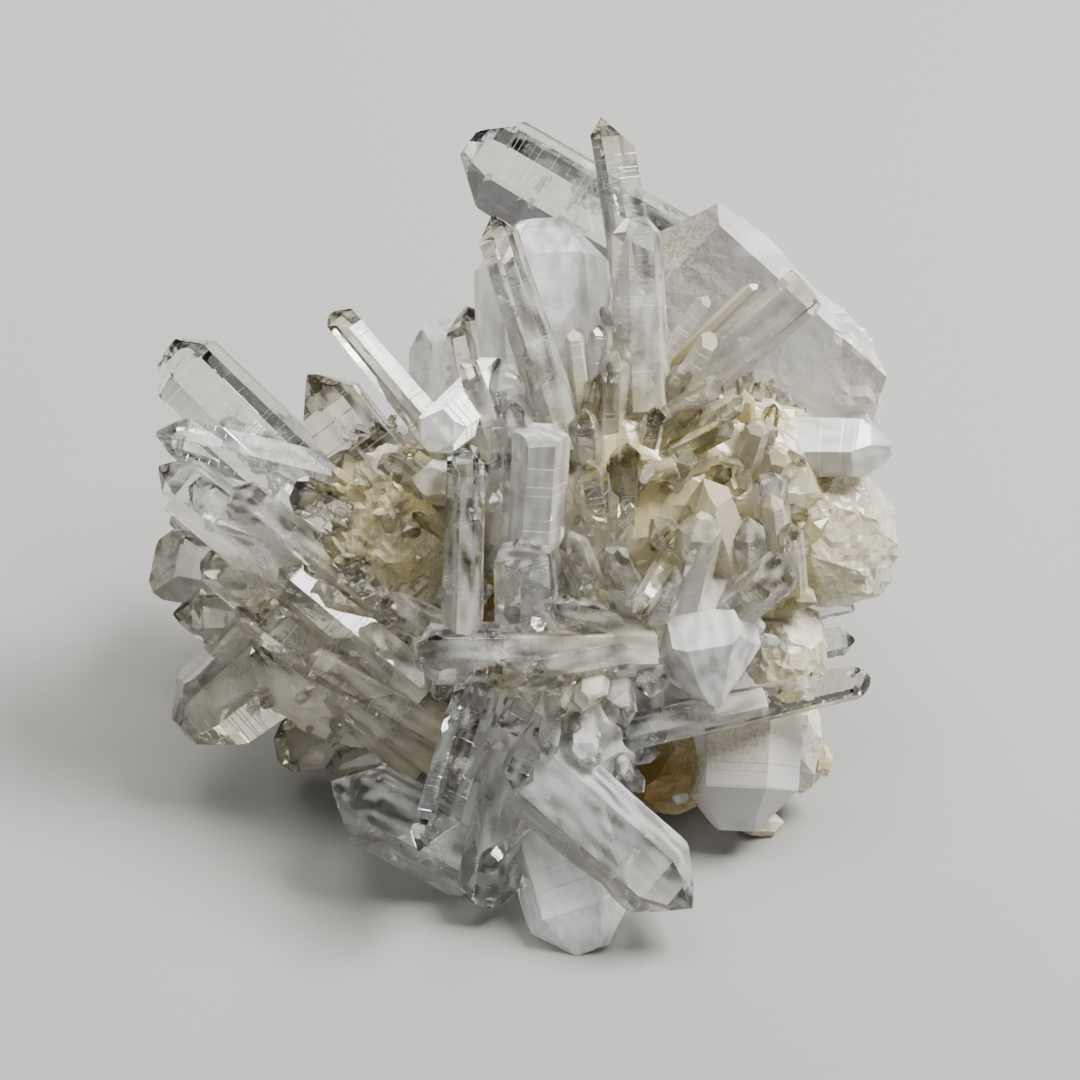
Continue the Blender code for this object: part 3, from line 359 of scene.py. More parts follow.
# Colour by place: centre across, up and near, how far it reaches, and how deep it is there
WARM_SPOTS = (
    ((15.0, 7.0, 8.0), 19.0, 0.9),
    ((36.0, 1.0, 0.0), 13.0, 0.75),
    ((-18.0, 1.0, 8.0), 15.0, 0.85),
    ((-28.0, -14.0, 2.0), 24.0, 0.45),
    ((33.0, -16.0, -2.0), 12.0, 0.7),
    ((4.0, -14.5, 12.0), 12.0, 0.5),
)
RUST_SPOTS = (((-6.0, -8.8, 8.0), 5.0, 0.9), ((14.4, -30.5, 1.0), 6.5, 0.75))
DUST_SPOTS = (
    ((16.5, 38.0, 3.0), 9.0, 0.75),
    ((19.0, 31.0, 0.0), 9.0, 0.45),
    ((26.0, 31.5, 0.0), 6.0, 0.35),
    ((16.0, 26.0, 4.0), 8.0, 0.9),
    ((30.0, 15.0, 4.0), 8.0, 0.7),
    ((18.0, 10.0, 8.0), 9.0, 0.6),
    ((24.5, -25.5, 6.5), 7.5, 0.95),
    ((30.0, -23.0, 5.0), 5.0, 0.7),
    ((40.0, 20.0, -4.0), 8.0, 0.4),
    ((-18.0, 4.0, 10.0), 9.0, 0.6),
)

# The photograph takes in this width, in millimetres, at the middle of the cluster
FRAME_WIDTH = 135.0


def lean_direction(across, up, near):
    """A direction of the leaning frame as a direction in the world."""
    lean = math.radians(LEAN_DEG)
    depth = math.sin(lean) * up - math.cos(lean) * near
    height = math.cos(lean) * up + math.sin(lean) * near
    return Vector((across, depth, height))


def lean_point(across, up, near):
    """A place in the leaning frame as a place in the world, in metres."""
    spread = (EYE_DISTANCE - near) / EYE_DISTANCE
    place = lean_direction(across * spread, up * spread, near) + STAND_SHIFT
    place.z += LEAN_CENTRE_HEIGHT
    return place * MM


def alone(obj):
    """Make obj the one selected object, and the active one."""
    bpy.ops.object.select_all(action="DESELECT")
    obj.select_set(True)
    bpy.context.view_layer.objects.active = obj


def cut_off(place, way):
    """In edit mode, take off all that stands outside a plane and close the cut."""
    bpy.ops.mesh.select_all(action="SELECT")
    bpy.ops.mesh.bisect(
        plane_co=place,
        plane_no=way,
        use_fill=True,
        clear_outer=True,
        threshold=CUT_CLOSENESS,
    )


def score(place, way):
    """In edit mode, run one line of edges round the mesh where a plane meets it, and select it."""
    bpy.ops.mesh.select_all(action="SELECT")
    bpy.ops.mesh.bisect(plane_co=place, plane_no=way, threshold=CUT_CLOSENESS)


def block_on_origin(half_side, half_height):
    """A block standing on the origin, ready to be cut."""
    bpy.ops.mesh.primitive_cube_add(
        size=2.0,
        location=(0.0, 0.0, half_height),
        scale=(half_side, half_side, half_height),
    )
    bpy.ops.object.transform_apply(location=True, rotation=True, scale=True)
    return bpy.context.object


def cut_prism(rng, length, half_width, half_thick, taper):
    """In edit mode, cut the six sides of the prism."""
    for number in range(PRISM_SIDES):
        turn = math.radians(number * 360.0 / PRISM_SIDES)
        outward = Vector((math.cos(turn), math.sin(turn), 0.0))
        flat_side = number % 3 == 0
        reach = half_thick if flat_side else half_width * math.cos(math.radians(30.0))
        reach *= rng.uniform(*SIDE_SPREAD)
        lean_in = outward + Vector((0.0, 0.0, taper * rng.uniform(*TAPER_SPREAD)))
        shoulder = Vector((0.0, 0.0, length * SHOULDER_SHARE))
        cut_off(outward * reach + shoulder, lean_in.normalized())


def raise_ledges(worn, length, half_width, sizes):
    """In edit mode, step the prism in across its length, as quartz does where growth paused."""
    gap = sizes.ledge_gap * (0.6 + half_width / (6.0 * MM))
    height = length * worn.uniform(0.2, 0.35)
    while height < length - half_width * 0.5:
        score((0.0, 0.0, height), (0.0, 0.0, 1.0))
        rise = sizes.ledge_depth * worn.uniform(0.8, 2.0)
        score((0.0, 0.0, height + rise), (0.0, 0.0, 1.0))
        depth = sizes.ledge_depth * worn.uniform(0.2, 1.3) / half_width
        squeeze = worn.uniform(0.3, 1.0)
        bpy.ops.transform.resize(
            value=(1.0 - depth, 1.0 - depth * squeeze, 1.0),
            center_override=(0.0, 0.0, height),
        )
        height += rise + gap * worn.uniform(0.25, 1.6)


def cut_tip(rng, length, half_width, style):
    """In edit mode, cut the six tip faces, and the break across them if there is one."""
    steep = math.radians(TIP_FACE_DEG)
    for number in range(PRISM_SIDES):
        turn = math.radians(number * 360.0 / PRISM_SIDES)
        outward = Vector((math.cos(turn), math.sin(turn), 0.0))
        way = outward * math.sin(steep) + Vector((0.0, 0.0, math.cos(steep)))
        cut_off((0.0, 0.0, length + style[number] * half_width), way)
    if len(style) > PRISM_SIDES:
        tilt = Vector((rng.uniform(-BREAK_TILT, BREAK_TILT), rng.uniform(-BREAK_TILT, BREAK_TILT), 1.0))
        cut_off((0.0, 0.0, length + style[PRISM_SIDES] * half_width), tilt.normalized())


def chip_corners(worn, obj, half_width, sizes):
    """In edit mode, knock small chips off the corners and edges of the tip."""
    chips = 1 + int(half_width > 2.0 * MM) + int(half_width > 3.5 * MM) * worn.randint(0, 2)
    for _ in range(chips):
        turn = worn.uniform(0.0, math.tau)
        way = Vector((math.cos(turn), math.sin(turn), worn.uniform(0.35, 1.6))).normalized()
        obj.update_from_editmode()
        reach = max(way.dot(vert.co) for vert in obj.data.vertices)
        cut_off(way * (reach - sizes.chip_depth * worn.uniform(0.3, 1.0)), way)


def wear_edges(obj, width):
    """Round off the sharp edges a little, where quartz knocks and catches the light."""
    alone(obj)
    worn = obj.modifiers.new("worn edges", "BEVEL")
    worn.width = width
    worn.segments = 1
    worn.limit_method = "ANGLE"
    worn.angle_limit = math.radians(20.0)
    bpy.ops.object.modifier_apply(modifier=worn.name)


def write_looks(obj, growth, look, owner):
    """Keep the place in its own growth, the look and the owner's number on every face corner."""
    corners = len(obj.data.loops)
    kinds = (
        ("growth", "FLOAT_VECTOR", "vector", growth),
        ("look", "FLOAT_COLOR", "color", look),
        ("owner", "FLOAT", "value", np.full(corners, owner)),
    )
    for name, kind, key, values in kinds:
        layer = obj.data.attributes.new(name, kind, "CORNER")
        layer.data.foreach_set(key, np.ascontiguousarray(values, dtype=np.float32).ravel())


def give_quartz(obj, milky):
    """Both kinds of quartz as material slots, and the right one on every face."""
    obj.data.materials.clear()
    for name in (CLEAR_QUARTZ, MILKY_QUARTZ):
        obj.data.materials.append(bpy.data.materials[name])
    slots = np.full(len(obj.data.polygons), int(milky), dtype=np.int32)
    obj.data.polygons.foreach_set("material_index", slots)


def corner_places(obj):
    """Where each face corner is, as rows of x, y and z in metres."""
    places = np.empty(len(obj.data.vertices) * 3, dtype=np.float32)
    obj.data.vertices.foreach_get("co", places)
    owners = np.empty(len(obj.data.loops), dtype=np.int32)
    obj.data.loops.foreach_get("vertex_index", owners)
    return places.reshape(-1, 3)[owners]


def corner_owners(mesh):
    """Whose each face corner is: crystals count up from one, the slab and the lumps down."""
    owners = np.empty(len(mesh.loops), dtype=np.float32)
    mesh.attributes["owner"].data.foreach_get("value", owners)
    return owners


def mark_crystal(obj, crystal, seed, length):
    """Clear at the tip and clouding towards the root, by the crystal's look."""
    places = corner_places(obj)
    down = (length - places[:, 2]) / MM
    growth = places / (1.0, 1.0, WISP_STRETCH) + (seed * WISP_SHIFT, 0.0, 0.0)
    share = np.clip(down / (length / MM), 0.0, 1.0) ** 1.3
    look = crystal.look
    near_tip = np.clip(1.0 - down / (crystal.width * 1.2), 0.0, 1.0)
    clear = look.tip_clear + (look.root_clear - look.tip_clear) * share
    cream = look.root_cream * share + look.tip_cream * near_tip
    stain = look.stain * (0.4 + 0.6 * share)
    dust = look.dust * (0.3 + 0.7 * share)
    write_looks(obj, growth, np.stack([clear, np.clip(cream, 0.0, 1.0), stain, dust], 1), seed)
    give_quartz(obj, look.milky)


def stand_in_place(obj, crystal):
    """Move the finished crystal from the origin to its own root, pointing at its tip."""
    tip = lean_point(*crystal.tip)
    root = lean_point(*crystal.root)
    axis = (tip - root).normalized()
    towards_eye = lean_direction(0.0, 0.0, 1.0)
    front = (towards_eye - towards_eye.dot(axis) * axis).normalized()
    side = axis.cross(front)
    turned = Matrix.Rotation(math.radians(crystal.turn), 4, "Z")
    obj.matrix_world = Matrix.Translation(root) @ Matrix((front, side, axis)).transposed().to_4x4() @ turned
    alone(obj)
    bpy.ops.object.transform_apply(location=True, rotation=True, scale=True)


def cut_crystal(name, crystal, seed, sizes):
    """A six-sided quartz point with its tip faces, growth ledges, chips and worn edges."""
    rng = random.Random(seed)
    worn = random.Random(seed * 31 + 7)
    length = (lean_point(*crystal.tip) - lean_point(*crystal.root)).length
    half_width = crystal.width * MM / 2.0
    half_thick = crystal.thick * MM / 2.0
    obj = block_on_origin(half_width * 2.0, length / 2.0 + half_width)
    obj.name = name
    bpy.ops.object.mode_set(mode="EDIT")
    cut_prism(rng, length, half_width, half_thick, crystal.taper)
    if crystal.width > 2.4:
        raise_ledges(worn, length, half_width, sizes)
    cut_tip(rng, length, half_width, crystal.style)
    chip_corners(worn, obj, half_width, sizes)
    bpy.ops.object.mode_set(mode="OBJECT")
    wear_edges(obj, min(sizes.edge_wear, half_width * 0.08))
    mark_crystal(obj, crystal, seed, length)
    stand_in_place(obj, crystal)
    return obj


def roughen(obj, texture_name, grain, depth, group=""):
    """Push the surface in and out by a noise of a real grain size."""
    noise = bpy.data.textures.new(texture_name, "CLOUDS")
    noise.noise_scale = grain
    noise.noise_depth = 2
    push = obj.modifiers.new("rough break", "DISPLACE")
    push.texture = noise
    push.texture_coords = "GLOBAL"
    push.strength = depth
    push.mid_level = 0.5
    push.vertex_group = group
    alone(obj)
    bpy.ops.object.modifier_apply(modifier=push.name)


def mark_rock(obj, look, seed):
    """The same look all over a lump or slab."""
    places = corner_places(obj)
    values = np.array([look.root_clear, look.root_cream, look.stain, look.dust], dtype=np.float32)
    write_looks(obj, places, np.tile(values, (len(places), 1)), -seed)
    give_quartz(obj, look.milky)


def strike_lump(name, lump, sizes):
    """A rough block of broken quartz: a box with flats struck off all round, then roughened."""
    rng = random.Random(lump.seed)
    golden = math.pi * (3.0 - math.sqrt(5.0))
    bpy.ops.mesh.primitive_cube_add(size=2.0)
    obj = bpy.context.object
    obj.name = name
    bpy.ops.object.mode_set(mode="EDIT")
    for number in range(lump.flats):
        height = 1.0 - 2.0 * (number + 0.5) / lump.flats
        ring = math.sqrt(1.0 - height * height)
        turn = number * golden + rng.uniform(-LUMP_FLAT_STRAY, LUMP_FLAT_STRAY)
        way = Vector((ring * math.cos(turn), ring * math.sin(turn), height))
        cut_off(way * rng.uniform(LUMP_DEEPEST_FLAT, 1.0), way)
    for axis in range(3):
        way = [0.0, 0.0, 0.0]
        way[axis] = 1.0
        grid = sizes.break_grid * (GRANULAR_GRID if lump.look in GRANULAR else 1.0)
        lines = max(2, int(2.0 * lump.half[axis] * MM / grid))
        for line in range(1, lines):
            place = Vector(way) * (2.0 * line / lines - 1.0)
            score(place, way)
    bpy.ops.object.mode_set(mode="OBJECT")
    axes = (
        lean_direction(1.0, 0.0, 0.0) * lump.half[0] * MM,
        lean_direction(0.0, 1.0, 0.0) * lump.half[1] * MM,
        lean_direction(0.0, 0.0, 1.0) * lump.half[2] * MM,
    )
    centre = lean_point(*lump.centre)
    obj.matrix_world = Matrix.Translation(centre) @ Matrix(axes).transposed().to_4x4()
    alone(obj)
    bpy.ops.object.transform_apply(location=True, rotation=True, scale=True)
    roughen(obj, "broken quartz", sizes.break_grain, min(sizes.break_depth, min(lump.half) * 0.12 * MM))
    if lump.look in GRANULAR:
        roughen(obj, "quartz grains", sizes.break_grain * 0.5, sizes.break_depth * 0.45)
    mark_rock(obj, lump.look, lump.seed)
    return obj


def cut_slab(name, sizes):
    """The thick milky slab, pushed back along the lean, with its facets and a rough right edge."""
    corners = []
    for across, up in SLAB_OUTLINE:
        corners.append(lean_point(across, up, SLAB_NEAR_AT_ZERO + SLAB_LEAN * up))
    mesh = bpy.data.meshes.new(name)
    mesh.from_pydata(corners, [], [range(len(corners))])
    obj = bpy.data.objects.new(name, mesh)
    bpy.context.scene.collection.objects.link(obj)
    alone(obj)
    back_way = lean_direction(0.0, -SLAB_LEAN, -1.0) * SLAB_THICK * MM
    middle = sum(corners, Vector()) / len(corners) + back_way
    bpy.ops.object.mode_set(mode="EDIT")
    bpy.ops.mesh.select_all(action="SELECT")
    bpy.ops.mesh.extrude_region_move(TRANSFORM_OT_translate={"value": back_way})
    bpy.ops.transform.resize(value=(SLAB_BACK_SHRINK,) * 3, center_override=middle)
    bpy.ops.mesh.select_all(action="SELECT")
    bpy.ops.mesh.normals_make_consistent(inside=False)
    for place, way in SLAB_FACETS:
        cut_off(lean_point(*place), lean_direction(*way).normalized())
    for way, reach in (((1.0, 0.0, 0.0), 24.0), ((0.0, 1.0, 0.0), 26.0), ((0.0, 0.0, 1.0), 20.0)):
        lines = int(2.0 * reach * MM / sizes.slab_grid)
        for line in range(1, lines):
            out = reach * (2.0 * line / lines - 1.0)
            place = lean_point(28.0 + way[0] * out, 22.0 + way[1] * out, -6.0 + way[2] * out)
            score(place, lean_direction(*way))
    bpy.ops.mesh.select_all(action="SELECT")
    bpy.ops.mesh.normals_make_consistent(inside=False)
    bpy.ops.object.mode_set(mode="OBJECT")
    edge = obj.vertex_groups.new(name="rough edge")
    eye_side = lean_direction(1.0, 0.0, 0.0)
    edge_line = lean_point(SLAB_ROUGH_FROM, 0.0, 0.0).dot(eye_side)
    broken = [vert.index for vert in obj.data.vertices if vert.co.dot(eye_side) > edge_line]
    edge.add(broken, 1.0, "REPLACE")
    roughen(obj, "slab edge", 2.6 * MM, sizes.break_depth * 1.6, edge.name)
    roughen(obj, "slab swell", 6.0 * MM, sizes.break_depth * 0.3)
    roughen(obj, "slab grain", 1.2 * MM, sizes.break_depth * 0.2)
    mark_rock(obj, SLAB_LOOK, 1)
    return obj


def grow_together(name, pieces, floor_block):
    """Join all the pieces into one closed surface and cut its base flat."""
    others = bpy.data.collections.new("others")
    bpy.context.scene.collection.children.link(others)
    first = pieces[0]
    for piece in pieces[1:]:
        for holder in list(piece.users_collection):
            holder.objects.unlink(piece)
        others.objects.link(piece)
    join = first.modifiers.new("grown together", "BOOLEAN")
    join.operation = "UNION"
    join.solver = "MANIFOLD"
    join.operand_type = "COLLECTION"
    join.collection = others
    level = first.modifiers.new("base cut flat", "BOOLEAN")
    level.operation = "DIFFERENCE"
    level.solver = "MANIFOLD"
    level.object = floor_block
    alone(first)
    bpy.ops.object.modifier_apply(modifier=join.name)
    bpy.ops.object.modifier_apply(modifier=level.name)
    if len(first.data.polygons) < 1000:
        raise RuntimeError("the pieces of the cluster did not join")
    for piece in pieces[1:] + [floor_block]:
        bpy.data.objects.remove(piece, do_unlink=True)
    bpy.data.collections.remove(others)
    first.name = name
    first.data.name = name
    return first


def spread_stains(cluster):
    """Warm haze, brown dust and iron stain by place, and cloudy wisps in the base rock."""
    mesh = cluster.data
    places = corner_places(cluster)
    layer = mesh.attributes["look"].data
    look = np.empty(len(mesh.loops) * 4, dtype=np.float32)
    layer.foreach_get("color", look)
    look = look.reshape(-1, 4)
    rock = corner_owners(mesh) < 0.0
    wisps = np.array([noise_at(vert.co / (3.0 * MM)) for vert in mesh.vertices], dtype=np.float32)
    owners = np.empty(len(mesh.loops), dtype=np.int32)
    mesh.loops.foreach_get("vertex_index", owners)
    wisps = wisps[owners][rock]
    look[rock, 0] *= np.clip(0.9 + 0.9 * wisps, 0.2, 1.4)
    look[rock, 1] *= np.clip(0.8 - 0.6 * wisps, 0.3, 1.2)
    for spots, channel, base in ((WARM_SPOTS, 1, 0.0), (DUST_SPOTS, 2, 0.0), (RUST_SPOTS, 2, 1.0)):
        for centre, reach, depth in spots:
            away = np.linalg.norm(places - np.array(lean_point(*centre)), axis=1) / (reach * MM)
            near = np.clip((1.0 - away) / 0.6, 0.0, 1.0) * depth
            deep = np.where(near > 0.0, base + near, 0.0)
            look[:, channel] = np.maximum(look[:, channel], deep)
    layer.foreach_set("color", look.ravel())


def make_point(name, lean, squash):
    """A little six-sided point one unit wide and two tall, to be copied."""
    bpy.ops.mesh.primitive_cylinder_add(vertices=6, radius=0.5, depth=1.4, location=(0.0, 0.0, 0.7))
    bpy.ops.object.transform_apply(location=True, rotation=True, scale=True)
    obj = bpy.context.object
    obj.name = name
    bpy.ops.object.mode_set(mode="EDIT")
    bpy.ops.mesh.select_all(action="SELECT")
    bpy.ops.transform.resize(value=(1.0, squash, 1.0), center_override=(0.0, 0.0, 0.0))
    cut_off((0.0, 0.0, 1.38), (0.0, 0.0, 1.0))
    bpy.ops.mesh.poke()
    bpy.ops.object.mode_set(mode="OBJECT")
    top = max(obj.data.vertices, key=lambda vert: vert.co.z - 0.01 * Vector((vert.co.x, vert.co.y)).length)
    top.co += Vector((lean, lean * 0.6, 0.6))
    return obj


def rock_faces(cluster):
    """The open faces of the base and slab: centre, normal, area, owner and look of each."""
    mesh = cluster.data
    count = len(mesh.polygons)
    centres = np.empty(count * 3, dtype=np.float32)
    normals = np.empty(count * 3, dtype=np.float32)
    areas = np.empty(count, dtype=np.float32)
    starts = np.empty(count, dtype=np.int32)
    mesh.polygons.foreach_get("center", centres)
    mesh.polygons.foreach_get("normal", normals)
    mesh.polygons.foreach_get("area", areas)
    mesh.polygons.foreach_get("loop_start", starts)
    look = np.empty(len(mesh.loops) * 4, dtype=np.float32)
    mesh.attributes["look"].data.foreach_get("color", look)
    owners = corner_owners(mesh)[starts]
    return centres.reshape(-1, 3), normals.reshape(-1, 3), areas, owners, look.reshape(-1, 4)[starts]


def scatter_points(cluster, sizes):
    """Crowd small points on the rock between the large crystals, as one piece."""
    rng = random.Random(2024)
    centres, normals, areas, owners, looks = rock_faces(cluster)
    rock = (owners < 0.0) & (normals[:, 2] > -0.5) & (centres[:, 2] > 2.0 * MM)
    bare = [SLAB_OWNER] + [-lump.seed for lump in LUMPS if lump.look in BARE]
    weights = np.where(rock & ~np.isin(owners, bare), areas, 0.0)
    total = np.cumsum(weights)
    kinds = [make_point(f"small point {turn}", lean, squash) for turn, (lean, squash) in enumerate(POINT_KINDS)]
    points = []
    for _ in range(sizes.small_points):
        pick = int(np.searchsorted(total, rng.uniform(0.0, float(total[-1]))))
        normal = Vector(normals[pick])
        stray = Vector([rng.gauss(0.0, 0.35) for _ in range(3)])
        axis = (normal + stray).normalized()
        width = sizes.small_point_width * rng.choice(POINT_GROWTH)
        tall = width * rng.uniform(0.6, 1.2)
        lowest = centres[pick][2] + min(axis.z, 0.0) * 2.0 * tall
        turned = axis.to_track_quat("Z", "Y").to_matrix().to_4x4() @ Matrix.Rotation(rng.uniform(0.0, 1.0), 4, "Z")
        grown = Matrix.Diagonal((width, width, tall, 1.0))
        root = Vector(centres[pick]) - axis * width * 0.5
        if lowest < width:
            continue
        point = rng.choice(kinds).copy()
        point.data = point.data.copy()
        bpy.context.scene.collection.objects.link(point)
        point.data.transform(Matrix.Translation(root) @ turned @ grown)
        clear, cream, stain, dust = (float(value) for value in looks[pick])
        values = np.array([min(0.92, clear + rng.uniform(0.15, 0.6)), cream * 0.9, stain * 0.6, dust * 0.3])
        corners = len(point.data.loops)
        places = corner_places(point)
        write_looks(point, places, np.tile(values, (corners, 1)), POINT_OWNER)
        points.append(point)
    for kind in kinds:
        bpy.data.objects.remove(kind, do_unlink=True)
    druse = join_copies("small_points", points)
    give_quartz(druse, False)
    return druse


def join_copies(name, copies):
    """Make one object of many."""
    bpy.ops.object.select_all(action="DESELECT")
    for copy in copies:
        copy.select_set(True)
    bpy.context.view_layer.objects.active = copies[0]
    bpy.ops.object.join()
    joined = bpy.context.object
    joined.name = name
    joined.data.name = name
    return joined


def make_veil(name, seed):
    """A ragged thin lens one unit across, a little dished, to be copied as a healed crack."""
    bpy.ops.mesh.primitive_ico_sphere_add(subdivisions=2, radius=0.5)
    obj = bpy.context.object
    obj.name = name
    bpy.ops.object.mode_set(mode="EDIT")
    bpy.ops.mesh.select_all(action="SELECT")
    bpy.ops.transform.vertex_random(offset=0.14, uniform=1.0, normal=0.0, seed=seed)
    bpy.ops.transform.resize(value=(1.0, 0.8, 0.04), center_override=(0.0, 0.0, 0.0))
    bpy.ops.object.mode_set(mode="OBJECT")
    return obj


def hang_veils(sizes):
    """Healed cracks inside the larger clear crystals, as one piece."""
    rng = random.Random(77)
    kinds = [make_veil(f"veil {turn}", turn) for turn in range(5)]
    veils = []
    for group in ALL_CRYSTALS:
        for crystal in group:
            if crystal.look.milky or crystal.width < 3.0:
                continue
            tip = lean_point(*crystal.tip)
            root = lean_point(*crystal.root)
            axis = (tip - root).normalized()
            length = (tip - root).length
            half = min(crystal.width, crystal.thick) * MM / 2.0
            side = axis.orthogonal().normalized()
            for _ in range(int(rng.uniform(0.5, 1.5) * length / (sizes.veil_gap))):
                across = half * rng.uniform(0.5, 1.1)
                off = max(0.0, half * 0.8 - across / 2.0) * rng.uniform(0.0, 1.0)
                about = Matrix.Rotation(rng.uniform(0.0, math.tau), 4, axis)
                height = rng.uniform(0.15, 1.0) * (length - half * 1.6)
                centre = root + axis * height + (about @ side) * off
                facing = (axis + Vector([rng.gauss(0.0, 0.6) for _ in range(3)])).normalized()
                if centre.z < across:
                    continue
                veil = rng.choice(kinds).copy()
                veil.data = veil.data.copy()
                bpy.context.scene.collection.objects.link(veil)
                turned = facing.to_track_quat("Z", "Y").to_matrix().to_4x4()
                veil.data.transform(Matrix.Translation(centre) @ turned @ Matrix.Diagonal((across, across, across, 1.0)))
                veils.append(veil)
    for kind in kinds:
        bpy.data.objects.remove(kind, do_unlink=True)
    return join_copies("healed_cracks", veils)


def linear(hex_colour):
    """A hex colour as seen on screen, turned into the light values Blender works with."""
    digits = hex_colour.lstrip("#")
    shown = [int(digits[place : place + 2], 16) / 255.0 for place in (0, 2, 4)]
    return tuple(c / 12.92 if c <= 0.04045 else ((c + 0.055) / 1.055) ** 2.4 for c in shown)


def put(tree, kind, plugs=None, **settings):
    """Add a node. plugs are its inputs, each a value or another node's output to link."""
    made = tree.nodes.new(kind)
    for name, value in settings.items():
        setattr(made, name, value)
    for name, value in (plugs or {}).items():
        if isinstance(value, bpy.types.NodeSocket):
            tree.links.new(value, made.inputs[name])
        else:
            made.inputs[name].default_value = value
    return made


def ramp(tree, value, low, high, out_low=0.0, out_high=1.0):
    """Stretch a value from one range onto another, and keep it in that range."""
    plugs = {"Value": value, "From Min": low, "From Max": high, "To Min": out_low, "To Max": out_high}
    return put(tree, "ShaderNodeMapRange", plugs, clamp=True).outputs["Result"]


def sum_up(tree, how, first, second):
    """One sum of two values, kept between 0 and 1."""
    return put(tree, "ShaderNodeMath", {0: first, 1: second}, operation=how, use_clamp=True).outputs[0]


def blend(tree, share, first, second):
    """Mix two colours by a share."""
    plugs = {"Factor": share, "A": first, "B": second}
    made = tree.nodes.new("ShaderNodeMix")
    made.data_type = "RGBA"
    colour_plugs = {"Factor": made.inputs[0], "A": made.inputs[6], "B": made.inputs[7]}
    for name, value in plugs.items():
        if isinstance(value, bpy.types.NodeSocket):
            tree.links.new(value, colour_plugs[name])
        elif name == "Factor":
            colour_plugs[name].default_value = value
        else:
            colour_plugs[name].default_value = (*value, 1.0)
    return made.outputs[2]


def noise(tree, places, size, detail=3.0, roughness=0.55):
    """Noise whose largest grains are about size metres across."""
    plugs = {"Vector": places, "Scale": 1.0 / size, "Detail": detail, "Roughness": roughness}
    return put(tree, "ShaderNodeTexNoise", plugs).outputs["Fac"]


def new_material(name):
    """A material with one Principled shader, and its node tree."""
    material = bpy.data.materials.new(name)
    material.use_nodes = True
    tree = material.node_tree
    return material, tree, tree.nodes["Principled BSDF"]


def read_look(tree):
    """How clear, creamy, stained and dusty each face corner is."""
    look = put(tree, "ShaderNodeAttribute", attribute_name="look")
    looks = put(tree, "ShaderNodeSeparateColor", {"Color": look.outputs["Color"]})
    return looks.outputs["Red"], looks.outputs["Green"], looks.outputs["Blue"], look.outputs["Alpha"]


def clear_quartz(colours):
    """Quartz grown clear at its tips: glassy faces, and wisps of fluid that cloud it towards the
    root. Clear stretches show the dark and light round them, cloudy ones glow white."""
    material, tree, shader = new_material(CLEAR_QUARTZ)
    growth = put(tree, "ShaderNodeAttribute", attribute_name="growth").outputs["Vector"]
    clear, cream, _, _ = read_look(tree)
    wisps = ramp(tree, noise(tree, growth, 1.3 * MM, 0.0), 0.3, 0.7, -0.14, 0.14)
    cloud = sum_up(tree, "SUBTRACT", 1.0, clear)
    clouded = ramp(tree, sum_up(tree, "ADD", cloud, wisps), 0.08, 0.95)
    body = blend(tree, clouded, colours["clear"], colours["milky"])
    body = blend(tree, cream, body, colours["cream"])
    through = ramp(tree, clouded, 0.0, 1.0, 1.0, 0.1)
    gloss = ramp(tree, clouded, 0.25, 1.0, 0.0, 0.14)
    tree.links.new(body, shader.inputs["Base Color"])
    tree.links.new(through, shader.inputs["Transmission Weight"])
    tree.links.new(gloss, shader.inputs["Roughness"])
    shader.inputs["IOR"].default_value = 1.544
    return material


def milky_quartz(colours):
    """Quartz full of fine bubbles, broken rough: white and half see-through like frosted glass,
    grainy where it is dusty, with brown dust and iron stain in the hollows."""
    material, tree, shader = new_material(MILKY_QUARTZ)
    places = put(tree, "ShaderNodeTexCoord").outputs["Object"]
    clear, cream, stain, dust = read_look(tree)
    grain = noise(tree, places, 0.5 * MM, 1.0, 0.7)
    speckle = ramp(tree, grain, 0.42, 0.62, 0.3, 1.0)
    dusty = sum_up(tree, "MULTIPLY", dust, speckle)
    stained = sum_up(tree, "MULTIPLY", stain, speckle)
    rusty = sum_up(tree, "SUBTRACT", stain, 1.0)
    body = blend(tree, cream, colours["milky"], colours["cream"])
    body = blend(tree, stained, body, colours["stain"])
    body = blend(tree, rusty, body, colours["rust"])
    through = sum_up(tree, "MULTIPLY", clear, sum_up(tree, "SUBTRACT", 1.0, stained))
    relief = ramp(tree, dust, 0.05, 0.6, 0.12, 0.5)
    bump = put(tree, "ShaderNodeBump", {"Height": grain, "Distance": 0.1 * MM, "Strength": relief})
    tree.links.new(body, shader.inputs["Base Color"])
    tree.links.new(through, shader.inputs["Transmission Weight"])
    tree.links.new(ramp(tree, dusty, 0.0, 1.0, 0.14, 0.6), shader.inputs["Roughness"])
    tree.links.new(bump.outputs["Normal"], shader.inputs["Normal"])
    shader.inputs["IOR"].default_value = 1.544
    return material


def crack_film():
    """The thin film of gas and bubbles in a healed crack: bright where it mirrors, else unseen."""
    material, tree, shader = new_material("Healed crack film")
    places = put(tree, "ShaderNodeTexCoord").outputs["Object"]
    bubbles = noise(tree, places, 0.8 * MM, 2.0, 0.7)
    tree.links.new(ramp(tree, bubbles, 0.42, 0.6, 0.04, 0.75), shader.inputs["Alpha"])
    shader.inputs["Base Color"].default_value = (0.9, 0.9, 0.9, 1.0)
    shader.inputs["Roughness"].default_value = 0.25
    return material


def pale_card(colours):
    """Pale matt card: plain, so that nothing but the quartz draws the eye."""
    material, _, shader = new_material("Pale card")
    shader.inputs["Base Color"].default_value = (*colours["floor"], 1.0)
    shader.inputs["Roughness"].default_value = 0.8
    return material


def wear_material(obj, material):
    """Give obj this one material."""
    obj.data.materials.clear()
    obj.data.materials.append(material)


